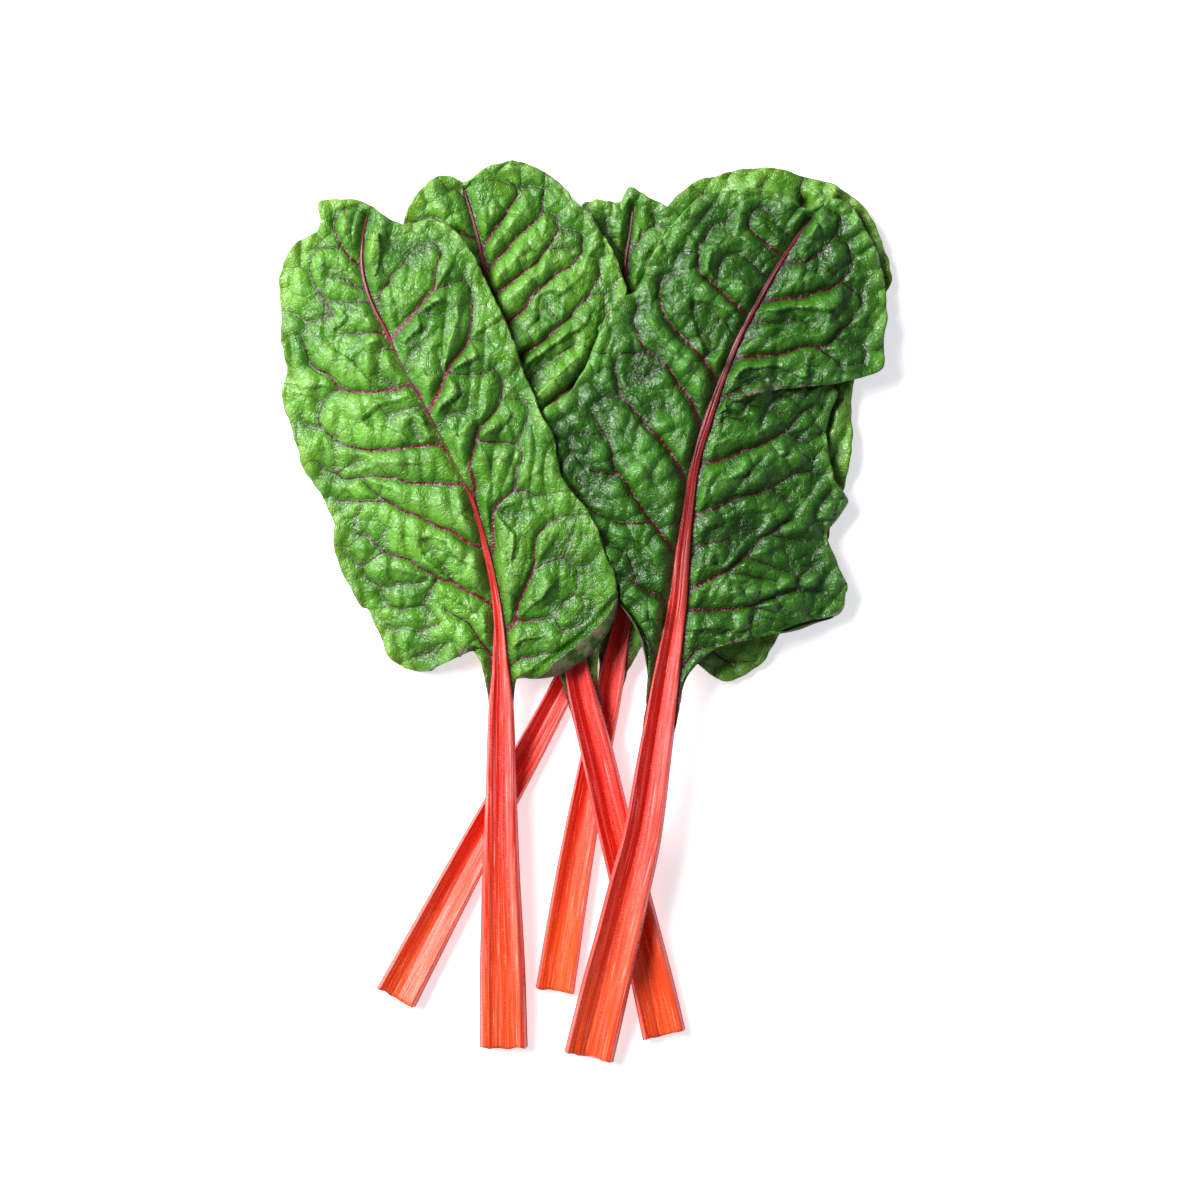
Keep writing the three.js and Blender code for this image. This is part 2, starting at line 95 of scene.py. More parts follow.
# The leaves run from the uppermost to the lowest. In each one:
# seed      starts its random draws and places its noise
# ruffle    how far its margin waves up and down
# channel   how deep its stalk's channel is, from 0 to 1
# depth     how dark its greens and its rib are, from the palest leaf's 0 to the darkest one's 1
# bloom     how thickly painted light, in pale red, covers the lit wall of its stalk's channel, and how pale its strings are
# orange    how orange its stalk's foot is
# puff      how strongly the blade puckers between its small veins
# pale      how pale its margin is on the left and on the right; where it is low, that half of the blade gets painted shade
# cover     the stretch of the rib that the blade's right half lies over
# stalk     rows of x, y, z of the keel, and width, from the cut foot to the rib's tip
# left, apex, right  rows of y on the rib, x, y, z of the margin, and how much of the margin is
#           rolled over, from the wing at the blade's base to its tip
# veins     rows of half-width at the start, then x and y of each point. On the parts that other
#           leaves cover, the veins are typical ones.
LEAVES = {
    "front_left": {
        "seed": 11, "ruffle": 1.0, "channel": 0.3, "depth": 0.0, "bloom": 0.65, "orange": 0.75,
        "puff": 0.7, "pale": (1, 0.2), "cover": (52, 119),
        "stalk": (
            (-36, -196, 0, 21.5), (-36.5, -160, 3.2, 20.3), (-37, -120, 6.5, 17),
            (-37, -85, 7.6, 14.2), (-37, -50, 9, 12), (-37, -38, 9.7, 10.6),
            (-37.2, -25, 10.4, 7.8), (-38.5, 0, 12, 4.2), (-42.5, 22, 13.5, 3.1),
            (-50, 50, 14.5, 2), (-60, 71, 14.5, 1.9), (-70, 90, 14, 1.8), (-79, 106, 13, 1.7),
            (-88, 124, 12, 1.7), (-95, 138, 10.5, 1.7), (-99, 152, 9, 1.6), (-99, 166, 7, 1.2),
            (-97, 177, 5, 0.9),
        ),
        "left": (
            (-42, -44.2, -41, 12, 0), (-32, -46, -25, 11.6, 0), (-29, -46.9, -21.7, 11.2, 0.4),
            (-23.5, -50.5, -16.7, 10.5, 1.2), (-18, -57.8, -14.6, 8.8, 4),
            (-17, -61.5, -15.3, 8.1, 3.7), (-14.2, -65.6, -23.6, 6.1, 3),
            (-12.5, -69.5, -27, 5.3, 1.9), (-10.3, -76.1, -27.2, 4.1, 0.2),
            (-7.8, -82.5, -24.5, 3.5, 0), (-5.2, -88, -19.9, 2.9, 0), (-1.5, -92.5, -10.8, 2.4, 0),
            (1.4, -95.7, -3.9, 2.1, 0), (3.1, -96.6, 0.4, 2, 0), (4.5, -99.8, 1.5, 2, 0),
            (7.6, -102.6, 6.6, 1.9, 0), (11.7, -107.1, 13, 1.8, 0), (15.2, -109.9, 18.4, 1.8, 0),
            (20.9, -111.7, 25.7, 1.8, 0), (25.1, -111.9, 31.2, 1.8, 0),
            (29.4, -111.2, 37.6, 1.8, 0), (32.6, -112.9, 42, 1.8, 0), (40.6, -118.1, 52.2, 1.8, 0),
            (47.1, -123.5, 58.5, 1.8, 0), (51.4, -126.6, 62.5, 1.8, 0),
            (55.9, -128.1, 67.7, 1.8, 0), (62.5, -129.4, 75.7, 1.8, 0),
            (69.8, -132.1, 84.5, 1.8, 0), (75, -134.7, 90.6, 1.8, 0), (82.2, -135.6, 97.6, 1.8, 0),
            (88, -134.9, 102.8, 1.8, 0), (93.1, -132.9, 107.4, 1.8, 0),
            (98.4, -133.6, 112.5, 1.8, 0), (105.4, -135.1, 119.5, 1.8, 0),
            (112.5, -136.4, 126.5, 1.8, 0), (119.3, -136, 133.5, 1.8, 0),
            (124.6, -137.1, 140.5, 1.9, 0), (130, -136.9, 147.4, 2.1, 0),
            (136.1, -135.1, 155.3, 2.2, 0), (140.7, -132.9, 161.5, 2.5, 0),
            (145.5, -127.7, 165.8, 2.9, 0), (151.5, -120.2, 170.6, 3.3, 0),
            (156.8, -118.9, 176.3, 3.7, 0), (162, -118.5, 183.4, 4, 0), (177, -106, 184.5, 4.2, 0),
        ),
        "apex": (-96, 182.5, 4.4, 0),
        "right": (
            (-42, -30, -42, 12, 0), (-34, -28.5, -28, 12.4, 0), (-30, -20, -30, 14, 5),
            (-26, -9, -27, 17, 11), (-20, 4, -18, 18.6, 14), (-15, 13.5, -3, 20.4, 8),
            (-11, 14, 10, 21, 0), (-7, 9, 27, 21.2, 0), (0, 2, 43, 21, 0), (12, -9, 58, 20.4, 0),
            (26, -14, 77, 19.4, 0), (42, -21, 93, 18, 0), (56, -27, 106, 16, 0),
            (72, -31, 120, 14.4, 0), (90, -39, 136, 13, 0), (106, -46, 152, 11.6, 0),
            (122, -56, 167, 10, 0), (138, -69, 174.5, 8.4, 0), (152, -80, 173, 6.8, 0),
            (177, -89, 177, 5.4, 0),
        ),
        "veins": (
            (0.8, (-37.5, -24), (-40, -20.4), (-43.2, -17.2), (-46.9, -13.5), (-49.6, -9),
             (-52.4, -5.3), (-57.8, -1.6), (-61.5, -0.3)),
            (0.9, (-38.5, -3), (-40.5, 1.1), (-44.1, 3.8), (-49.6, 7), (-57.8, 12.2),
             (-63.3, 13.4), (-69.7, 17.5), (-79.7, 23), (-89.8, 26.6), (-97.1, 33.5),
             (-100.7, 33.9), (-103, 38.5), (-99.8, 46.7)),
            (0.35, (-89.8, 26.2), (-95.3, 23), (-99.8, 20.7), (-103.5, 23), (-108, 26.6)),
            (0.35, (-99.8, 20.7), (-98.9, 16.6), (-95.3, 13), (-90.7, 10.7), (-92, 6.6),
             (-88, 2.9), (-80.6, 1.1), (-71.5, 2.5)),
            (0.35, (-66, 13.4), (-67.9, 11.1), (-69.7, 6.6), (-71.5, 2.5), (-67, -3.5),
             (-65.1, -6.2)),
            (0.3, (-65.1, -6.2), (-73.4, -9), (-80.7, -8), (-86.1, -7.1), (-90.7, -4.4)),
            (0.3, (-71, 13.4), (-77, 12), (-84.3, 11.4), (-90.7, 10.7)),
            (0.3, (-65.1, -15.3), (-69.7, -19), (-75.2, -20.4), (-77, -17.2)),
            (0.3, (-57.8, 12.5), (-61.5, 17.5), (-66, 23.9), (-66, 27.6)),
            (1, (-42, 22), (-43.7, 26.6), (-47.8, 28.9), (-53.3, 32.1), (-61.5, 36.7),
             (-71.5, 40.8), (-80.7, 44.4), (-88, 48.5), (-95.3, 49), (-102.6, 48.7),
             (-111.7, 50.4)),
            (0.35, (-86.1, 48), (-92.5, 52.2), (-97.1, 55.8), (-98.9, 58.6)),
            (0.8, (-50, 51), (-54.2, 55.8), (-57.8, 56.7), (-63.3, 57), (-69.7, 56.6),
             (-80.7, 58.1), (-92.5, 60), (-99.8, 59.5), (-107.1, 59.5), (-110.8, 61.5),
             (-115.3, 63.1), (-119.9, 66.3)),
            (0.3, (-110.8, 61.5), (-108.9, 63.6), (-104.4, 66.3), (-98.9, 67.7)),
            (0.8, (-61, 71), (-64.7, 73.5), (-76, 73.1), (-90, 71.3), (-95.3, 71.3),
             (-101.4, 73.1), (-108.4, 75.3), (-118, 82.3), (-118.5, 90.6), (-111.9, 97.6),
             (-108, 98.9)),
            (0.3, (-118, 82.3), (-122.4, 82.3), (-126.8, 85.3), (-127.2, 89)),
            (0.3, (-66.5, 83), (-74.3, 91.4), (-83, 88.4), (-87.4, 86.6)),
            (0.3, (-73.4, 76.6), (-76, 80), (-76.5, 84.4)),
            (0.9, (-72.5, 95), (-76.9, 99.8), (-86.6, 98.5), (-97.9, 97.4), (-108, 98.9),
             (-113.7, 105), (-118, 107.6), (-122, 110.7), (-124.6, 117.7), (-128.5, 123.8)),
            (0.3, (-84.8, 99.8), (-87.4, 102.4), (-91.8, 103.3)),
            (0.35, (-84, 116), (-86.6, 116.4), (-90, 116), (-92.7, 115)),
            (0.8, (-86.5, 121), (-91.8, 124), (-98.8, 124.3), (-105, 123.6)),
            (0.45, (-95, 137.3), (-100.6, 138.3), (-105.8, 137.7), (-112.8, 138.3)),
            (0.5, (-96, 142.5), (-104, 146.6), (-108.4, 148.3), (-113.7, 150)),
            (0.7, (-99.5, 153), (-104.9, 157.9), (-109.3, 163.2), (-111.9, 169.3), (-111.5, 174.6),
             (-110.2, 179), (-101.4, 180.5)),
            (0.3, (-109, 162.5), (-111.9, 161.9), (-117.2, 162.3), (-123.3, 161.4)),
            (0.5, (-112.4, 132.1), (-115.4, 137.8), (-118.5, 143), (-121.5, 148.8),
             (-122.9, 152.7), (-122, 157.1), (-120.2, 160.6)),
            (0.35, (-112.4, 132.1), (-117.2, 130.8), (-120.7, 129), (-124.2, 130), (-130.3, 133.5)),
            (0.5, (-92, 136), (-90, 142.2), (-84.8, 150), (-81.3, 153.6), (-78.7, 158),
             (-72.5, 162.3), (-66.4, 161.4), (-63.8, 158.8)),
            (0.95, (-86.5, 119.5), (-83, 124.7), (-78.7, 129), (-74.3, 133.5), (-69.9, 139.6),
             (-67.3, 142.6), (-66.4, 147.5), (-65.1, 154.5), (-63.8, 158.8), (-65.1, 162.3),
             (-69, 166.7)),
            (0.45, (-67.3, 142.6), (-62, 144.8), (-56, 147), (-53.7, 148.3), (-52.4, 154.5)),
            (0.3, (-74.3, 133.5), (-69.9, 131.7), (-62, 131.5)),
            (0.35, (-80, 108), (-77.8, 112.4), (-72.5, 117.7), (-65.5, 123.8)),
            (1, (-69.5, 87), (-64.7, 97.6), (-62, 103.7), (-59.4, 109), (-55, 115), (-51.6, 120.3),
             (-49.8, 126.5), (-49.6, 132.6), (-49.8, 138.7), (-52.9, 146.6)),
            (0.35, (-51.6, 120.3), (-46.3, 119.9), (-41, 119.5)),
            (0.45, (-61.2, 105.5), (-55, 105), (-49, 105.5), (-42, 106.3), (-38.4, 109.8)),
            (0.3, (-62.5, 104), (-64.7, 109.8), (-65.6, 114.2)),
            (0.3, (-66, 81.8), (-62.9, 83.1), (-60.3, 86.6), (-55, 88.4), (-48.9, 90.1)),
            (0.9, (-48.5, 45), (-49, 53), (-49.8, 60), (-49.8, 67), (-49, 73), (-46.3, 80),
             (-42, 86.2), (-38.4, 91.5), (-36.7, 99.3), (-37.6, 103.7), (-41, 108)),
            (0.5, (-48, 75.3), (-42.8, 74.8), (-35.8, 75), (-30, 74.8), (-26.2, 81), (-24.4, 87),
             (-26.2, 92.3), (-30.5, 94.5), (-36.7, 94.5)),
            (0.8, (-41.8, 20), (-40.5, 30), (-41, 39.4), (-39.6, 44.9), (-36.9, 48.5),
             (-31.8, 53.1), (-30.5, 57.7), (-29.6, 62.2), (-27.3, 67.7), (-28.2, 72.3),
             (-30.5, 75)),
            (0.45, (-30.5, 53.1), (-25.9, 53.1), (-21.3, 51.7), (-17.7, 51.3)),
            (0.3, (-39.1, 44), (-34, 43.5), (-29.5, 43.5)),
            (1, (-38, -16), (-35, -9.9), (-31.4, -5.3), (-29.6, 1.1), (-27.3, 7.5), (-24.1, 14.8),
             (-22.3, 20.3), (-21.8, 27.6), (-20.4, 34.4), (-15.9, 38.5), (-11.3, 41.2),
             (-4.9, 42.2)),
            (0.45, (-22.3, 18.4), (-17.7, 20.7), (-9.5, 23.4), (-7.7, 27.6), (-5.8, 32.1),
             (-4, 41.2)),
            (0.35, (-9.5, 23.4), (-4, 20.7), (-3.5, 13), (-4, 7.5), (-10.4, 2), (-13.1, -3)),
            (0.3, (-4, 20.2), (1.5, 21.2), (7, 26.6)),
            (0.7, (-30.9, -3.9), (-26.8, -4.8), (-21.3, -4.8), (-16.8, -4.4), (-13.1, -3),
             (-10.4, 2)),
            (0.35, (-13.1, -3), (-10.4, -8), (-4.9, -7.1), (2.4, -1.6), (3.8, 3.8), (1.5, 5.6),
             (-4, 7)),
            (0.75, (-35.5, -31), (-34.1, -27.2), (-32.3, -24.5), (-28.6, -21.7), (-23.2, -20.4),
             (-17.7, -19.4), (-13.1, -18.5)),
        ),
    },
    "front_right": {
        "seed": 23, "ruffle": 1.0, "channel": 1.0, "depth": 1.0, "bloom": 0.3, "orange": 0.75,
        "puff": 1.45, "pale": (0.7, 0.7), "cover": None,
        "stalk": (
            (2.2, -200, 0, 22.5), (10.2, -166, 5.6, 21.5), (14.6, -148, 8.9, 20.3),
            (20.2, -124, 11, 19), (26, -100, 12.6, 17.3), (31.5, -65, 14, 15), (35.5, -38, 15, 13),
            (39, -15, 15.6, 10.5), (42, 5, 16, 8.6), (44, 25, 16, 7.1), (46.5, 45, 15.6, 5.2),
            (49.5, 65, 15, 4.3), (55, 84, 14.2, 4.3), (62, 104, 13.2, 3), (69.5, 122, 12.2, 2.5),
            (78.5, 139, 11, 2.2), (87.5, 155, 9.8, 1.9), (96, 168, 8.6, 1.4), (101, 175, 8, 1),
        ),
        "left": (
            (-44, 26, -42.5, 18.6, 0), (-34, 28, -26, 18.6, 1), (-26, 26, -14, 18.4, 5),
            (-18, 20, -2, 17.8, 6), (-10, 12, 8, 17.2, 3), (-2, 2, 18, 16.6, 0),
            (6, -8, 32, 16.2, 0), (14, -15, 50, 15.6, 0), (22, -19, 68, 15, 0),
            (32, -18, 86, 14.2, 0), (44, -8, 97, 13.6, 0), (56, 1, 109, 13, 0),
            (68, 7, 123, 12.4, 0), (80, 14, 137, 11.8, 0), (92, 24, 145, 11.4, 0),
            (104, 29, 154, 11.2, 0), (116, 34, 166, 11, 0), (128, 43, 178, 10.6, 0),
            (138, 52, 185, 10, 0), (148, 62, 187, 9.6, 0), (158, 74, 188.5, 9.2, 0),
            (175, 89, 185.5, 8.8, 0),
        ),
        "apex": (99, 180, 8.6, 0),
        "right": (
            (-44, 43.8, -45.5, 18.6, 0), (-36, 46, -29, 18, 1), (-32, 53, -20, 16.4, 5),
            (-27, 64, -13, 14.2, 6), (-22, 78, -9, 12, 6), (-17, 92, -9, 9.6, 6),
            (-12, 104, -5, 7.8, 5), (-6, 115, -1, 6.8, 1), (2, 118, 9, 6.6, 0),
            (12, 112, 23, 6.8, 0), (22, 108.5, 33, 7, 0), (32, 114, 43, 7, 0),
            (41, 117.5, 50, 7.2, 0), (50, 111, 61, 7.6, 0), (60, 109, 76, 8, 0),
            (71, 110, 87, 7.2, 0), (77, 113, 99.5, 6.6, 0), (82, 98, 105.5, 7.6, 0),
            (86, 84, 105.5, 11, 0), (89, 89, 103.6, 13.2, 0), (92, 98, 102, 13.6, 0),
            (96, 108, 100.6, 13.6, 0), (100, 117, 102.2, 13.2, 0), (104, 125, 104.6, 12.4, 0),
            (108, 131.5, 107, 11.4, 0), (112, 134, 113, 10, 0), (124, 135.5, 136, 7.6, 0),
            (136, 132, 154, 7, 0), (147, 128, 169, 7, 0), (157, 120, 181, 7.2, 0),
            (166, 110, 184, 7.8, 0), (175, 106, 182, 8.2, 0),
        ),
        "veins": (
            (0.5, (33, -30), (32.4, -22.1), (27, -10.4), (23.4, -5), (20, 0)),
            (0.8, (39.5, -2), (35.1, 5), (29.7, 8.1), (24.3, 11.3), (19.8, 14), (16.2, 15.8)),
            (0.4, (24.3, 11.3), (21.6, 17.6), (18.9, 24.8), (14.4, 28.4), (9.9, 31.1)),
            (0.95, (43.5, 17), (42.3, 22.1), (39.6, 27.5), (36, 32), (32.4, 36.5), (28.8, 41),
             (25.2, 46.4), (21.6, 51.8), (17.1, 59), (13.5, 63.5), (11.7, 71.6), (9.9, 76.1),
             (7.2, 81.5), (3.6, 87.8)),
            (0.55, (28.8, 39.2), (20.7, 39.2), (15.3, 39.2), (10.8, 41), (5.4, 43.2), (0.9, 46.4),
             (-2.7, 50.9), (-5.4, 55.4)),
            (0.45, (16.2, 59.9), (10.8, 60.8), (5.4, 61.7), (0, 63.5), (-5, 70.7), (-6.3, 76.1),
             (-5, 79.7), (1.8, 78.8), (7.2, 78.3)),
            (0.95, (47.5, 48), (46.4, 54), (44.1, 59.9), (41.4, 65.3), (37.8, 71.6), (34.2, 76.1),
             (29.7, 80.6), (25.2, 85.1), (21.6, 89.6), (17.1, 95.9), (15.3, 101.3), (13.5, 107.6),
             (14.9, 113), (20.7, 114.3), (27.9, 114.8)),
            (0.4, (18.9, 94.1), (11.7, 95), (6.3, 93.2), (3.6, 90.5)),
            (0.3, (28.8, 81.5), (29.7, 87.8), (27.9, 94.1)),
            (0.95, (53, 80), (50.9, 86), (48.6, 91.4), (45, 97.7), (41.4, 103.1), (37.8, 107.6),
             (34.2, 111.6), (27, 116.6), (24.3, 122.9), (22.5, 129.2), (23.4, 134.6), (25, 139)),
            (0.3, (35.1, 108), (27, 104.9), (19.8, 104.9)),
            (0.9, (61, 100), (57.6, 105.8), (54, 111.2), (50.4, 115.7), (46.8, 119.7),
             (43.2, 122.9), (37.8, 129.2), (36, 133.7), (34.2, 138.2), (33.8, 142.7),
             (35.1, 147.2), (39.6, 151.2), (40.5, 156.2), (42.3, 160.2), (50.4, 158.9)),
            (0.3, (67.5, 121), (65.7, 124.7), (61.2, 128.3), (56.7, 129.6)),
            (0.3, (54, 112.1), (56.7, 118.4), (55.8, 122.9)),
            (0.85, (75.5, 129), (70.2, 135.5), (65.7, 138.2), (61.2, 142.2), (56.7, 146.3),
             (52.2, 150.3), (51.3, 155.3), (51.3, 160.7), (54, 166.1), (57.6, 171.5),
             (65.7, 174.6)),
            (0.3, (59, 144.5), (59.4, 150.8), (61.2, 155.3), (64.8, 158.9), (70.2, 159.8)),
            (0.55, (85, 147), (79.2, 151.2), (74.7, 155.3), (70.2, 158.4)),
            (0.7, (90.5, 157.5), (83.7, 162), (79.2, 165.2), (75.6, 168.8), (72.9, 172.4),
             (73.8, 176.9), (77.4, 179.6), (81.9, 179.1), (85.5, 176)),
            (0.3, (94, 166), (88.2, 169.7), (85.5, 174.2)),
            (0.8, (39, -28), (42.3, -25.7), (48.6, -18.5), (53.1, -16.2), (58, -15.2)),
            (0.85, (42, 1), (47.3, 0.5), (60, 0.7), (72.9, 2.3), (82, 5), (95, 9), (107, 9)),
            (0.35, (72.9, 2.3), (79.2, 0.9), (85.5, -1.2)),
            (0.95, (43, 4), (47.3, 8.6), (52.2, 12.2), (57.6, 14.9), (64.8, 18.5), (71.1, 23),
             (75.6, 27.5), (79.2, 32), (88.2, 38.7), (93, 41)),
            (0.35, (82.8, 33.8), (90, 32.4), (97.2, 31.1), (106, 31.1)),
            (0.35, (72, 24.3), (78.3, 22.1), (86.4, 18.9), (95.9, 16.7), (100.8, 19.4),
             (106.2, 22.1)),
            (0.3, (95.9, 16.7), (95.9, 9)),
            (0.3, (64.8, 17.1), (73.8, 15.8), (81, 13.5), (86.4, 12.6)),
            (0.55, (45, 21), (47.3, 23.9), (51.3, 28.8), (56.7, 30.6), (63, 32), (66.6, 35.1),
             (72.9, 36.9), (77.4, 36.5)),
            (0.3, (64.8, 32), (64.4, 25.7), (63, 21.2)),
            (0.9, (46.5, 37), (49.1, 41), (52.2, 43.7), (57.6, 45), (63.9, 48.2), (77.4, 53.1),
             (89.1, 58.1), (95.4, 61.2), (104.4, 63.5)),
            (0.35, (83.7, 54), (88.2, 50.9), (91.8, 47.3)),
            (0.95, (49.5, 60), (52.7, 64.8), (58.5, 66.6), (70.2, 71.1), (81, 75.2), (89.1, 79.2),
             (92.7, 82.4), (97.2, 87.8), (101.7, 91.8)),
            (0.35, (89.1, 79.2), (94.5, 77.9), (99.9, 75.6), (103.5, 77.9), (108.9, 80.1)),
            (0.45, (54, 80), (57.2, 82.8), (63.9, 86), (68.4, 85.5), (73.8, 84.2)),
            (0.75, (58, 91), (60.8, 93.6), (66.6, 96.8), (71.1, 99.5), (74.7, 102.2), (83.7, 104)),
            (0.3, (65, 94), (73.8, 91.4), (81, 90.5), (87.3, 88.7)),
            (0.9, (64, 109), (67.5, 112.5), (72.9, 113.4), (86.4, 114.3), (99, 117.5),
             (108.9, 119.3), (117, 127.4), (120.6, 132.8), (123.3, 140), (114.3, 147.2)),
            (0.35, (103.5, 117.5), (108.9, 113.9), (114.8, 110.3), (124.2, 110.7), (126, 114.8),
             (123.3, 118.4), (113.4, 121.5)),
            (0.3, (116.1, 126.9), (126.9, 127.4)),
            (0.35, (74, 128), (80.1, 128.7), (85.5, 127.8), (90.9, 129.6), (96.3, 129.6),
             (100.8, 127.4)),
            (0.85, (78, 137), (80.6, 139), (86.4, 139), (98.1, 140.9), (108.9, 143.6),
             (114.3, 146.7), (117.9, 150.8), (119.7, 155.3), (117.9, 163.4), (114.3, 165.2)),
            (0.6, (88.5, 154.5), (96.3, 155.3), (101.7, 157.1), (106.2, 160.7), (109.8, 165.2),
             (113.4, 170.6), (114.8, 175.1), (113.4, 177.8)),
        ),
    },
    "back_left": {
        "seed": 37, "ruffle": 0.8, "channel": 1.0, "depth": 0.15, "bloom": 0.15, "orange": 0.8,
        "puff": 1.2, "pale": (0.9, 0.6), "cover": None,
        "stalk": (
            (36, -190.5, 0, 19.7), (31, -168, 0.4, 19), (20.5, -124, 3.4, 16.8),
            (13, -94, 6, 15.6), (6, -64, 8, 14.5), (0, -40, 9.2, 13), (-4.5, -20, 10, 11),
            (-9, 0, 10.4, 8.5), (-14, 22, 10.4, 6.2), (-20, 48, 10, 4.8), (-26, 74, 9.2, 4),
            (-32, 100, 8, 3.2), (-37.5, 122, 6.6, 2.6), (-42.5, 142, 5, 2.1), (-46, 160, 3.8, 1.7),
            (-50, 176, 3, 1.3), (-54, 189, 2.6, 0.9),
        ),
        "left": (
            (-42, -8, -44, 11.4, 0), (-30, -14, -24, 11.4, 0), (-20, -26, -10, 10.6, 0),
            (-10, -38, 2, 9.4, 0), (2, -48, 18, 8, 0), (16, -57, 38, 6.6, 0),
            (32, -65, 60, 5.2, 0), (50, -71, 84, 4, 0), (68, -76, 106, 3.2, 0),
            (86, -80, 128, 3, 0), (104, -83, 148, 3, 0), (120, -82, 164, 3, 0),
            (136, -79.5, 178, 3, 0), (150, -74, 187, 3, 0), (162, -67, 193, 3, 0),
            (174, -60, 194.5, 2.8, 0), (189, -55, 193.5, 2.6, 0),
        ),
        "apex": (-50, 194.5, 2.6, 0),
        "right": (
            (-42, 9, -39.8, 11.4, 0), (-32, 7.5, -24, 11.8, 0), (-22, 7, -11, 12, 0),
            (-10, 9, 4, 12, 0), (2, 12, 22, 12, 0), (14, 15, 42, 12, 0), (28, 17, 62, 11.6, 0),
            (42, 18, 82, 11, 0), (58, 18, 102, 10, 0), (76, 18, 122, 9, 0), (94, 18.5, 138, 8, 0),
            (106, 18, 148, 7.2, 0), (118, 12, 162, 6.8, 0), (130, 4, 174, 6.2, 0),
            (142, -4, 183.5, 5, 0), (152, -12, 191.5, 3.8, 0), (162, -22, 198, 3, 0),
            (172, -33, 201, 2.8, 0), (189, -44, 198.5, 2.6, 0),
        ),
        "veins": (
            (0.35, (-53, 184), (-57.3, 188.7), (-61, 189)),
            (0.7, (-49, 167), (-55, 168.8), (-60.3, 170.3), (-68.6, 175.2), (-79.8, 174)),
            (0.8, (-47.5, 161), (-42.3, 167.7), (-36.3, 175.2), (-32.2, 182.7), (-30.7, 186.5),
             (-31, 190.2), (-34, 192.5)),
            (0.8, (-45, 150), (-42.3, 155), (-34.8, 161.7), (-28, 169.2), (-19.8, 176.7),
             (-17.6, 184.2), (-19, 188.7), (-28.8, 189.8)),
            (0.85, (-42, 140), (-37, 144.5), (-28.8, 149.7), (-19.8, 158), (-14.2, 166.2),
             (-12.7, 170.7), (-12.7, 175.2), (-17.5, 179.3)),
            (0.9, (-38, 124), (-34, 129), (-27.3, 134), (-19, 145.2), (-10.8, 151.2),
             (-5.5, 154.2), (-1, 163.2), (-2.5, 169.2), (-11.6, 170.3)),
            (0.3, (-13.8, 162), (-1.8, 163.2)),
            (0.85, (-33, 107), (-28.8, 113), (-17.6, 122), (-10, 128), (-4, 134.7), (2, 141.5),
             (6.5, 149), (5.7, 155)),
            (0.4, (-10, 128), (-13.8, 132.5), (-18.3, 140.7)),
            (0.35, (2, 141.5), (8.7, 141.5), (14.7, 145.2)),
            (0.5, (-30, 97), (-25.8, 103.2), (-17.6, 110), (-7.8, 116.7), (-4.8, 118.2)),
            (0.9, (-27, 80), (-18.3, 86), (-10.8, 95.7), (-2.5, 102.5), (2.7, 113), (7.2, 125),
             (8.3, 132.5), (8.7, 141.5)),
            (0.8, (-44, 152), (-54, 158), (-66, 162), (-76, 164)),
            (0.8, (-38, 126), (-52, 134), (-66, 142), (-77, 148)),
        ),
    },
    "back_middle": {
        "seed": 41, "ruffle": 0.6, "channel": 0.8, "depth": 0.55, "bloom": 0.2, "orange": 1.0,
        "puff": 1.2, "pale": (0.6, 0.6), "cover": None,
        "stalk": (
            (-13, -170.5, 0, 17.5), (-9.5, -148, 0.1, 16.8), (-5, -120, 0.2, 15.8),
            (0, -92, 0.4, 14.6), (5.5, -64, 1.2, 13.4), (11, -38, 3.2, 11.8), (15, -16, 5.3, 10),
            (19, 4, 5.8, 8), (23, 24, 5.8, 6.4), (26.5, 48, 5.6, 5), (28, 72, 5.2, 4),
            (27, 96, 4.6, 3.2), (23.5, 118, 3.8, 2.6), (20, 138, 3, 2.1), (18.5, 154, 2.4, 1.7),
            (20.5, 168, 2, 1.2), (22, 180, 1.8, 0.9),
        ),
        "left": (
            (-30, 5, -28.5, 5.6, 0), (-22, 5, -15, 5.8, 0), (-16, 0, -5, 5.8, 0),
            (-8, -8, 6, 5.6, 0), (2, -16, 22, 5.2, 0), (14, -22, 42, 4.6, 0), (28, -26, 64, 4, 0),
            (44, -28, 86, 3.6, 0), (60, -27, 108, 3.2, 0), (78, -23, 128, 2.8, 0),
            (96, -17, 146, 2.4, 0), (112, -10, 162, 1.8, 0), (128, -5, 174, 1.5, 0),
            (142, -1, 182, 1.5, 0), (154, 5, 184.5, 1.8, 0), (164, 11, 183.5, 2.2, 0),
            (180, 16, 184, 2.6, 0),
        ),
        "apex": (20, 190, 3.2, 0),
        "right": (
            (-30, 20.2, -31.5, 5.6, 0), (-22, 25, -21, 6, 0), (-16, 31, -11, 6.4, 0),
            (-8, 44, -2, 6.8, 0), (2, 58, 10, 7.2, 0), (14, 68, 28, 7.6, 0), (28, 75, 48, 7.6, 0),
            (44, 79, 70, 7.6, 0), (60, 80, 92, 7.6, 0), (78, 78, 114, 7.6, 0),
            (96, 72, 134, 7.4, 0), (112, 64, 150, 7, 0), (126, 56, 162, 6.6, 0),
            (140, 48, 171, 6.2, 0), (152, 42, 178, 5.6, 0), (162, 36, 181, 5.2, 0),
            (170, 30, 185, 4.8, 0), (180, 25, 188.5, 3.6, 0),
        ),
        "veins": (
            (0.45, (21.5, 161.5), (25.2, 167), (28.2, 170.7), (32, 173), (32, 176), (29.7, 179)),
            (0.3, (32, 173), (37.2, 171.5)),
            (0.35, (19.5, 157), (14, 164), (10, 172), (9, 180)),
            (0.7, (20, 140), (30, 152), (38, 160)),
        ),
    },
    "back_right": {
        "seed": 53, "ruffle": 0.5, "channel": 1.0, "depth": 0.1, "bloom": 0.15, "orange": 0.75,
        "puff": 1.1, "pale": (0.8, 0.9), "cover": None,
        "stalk": (
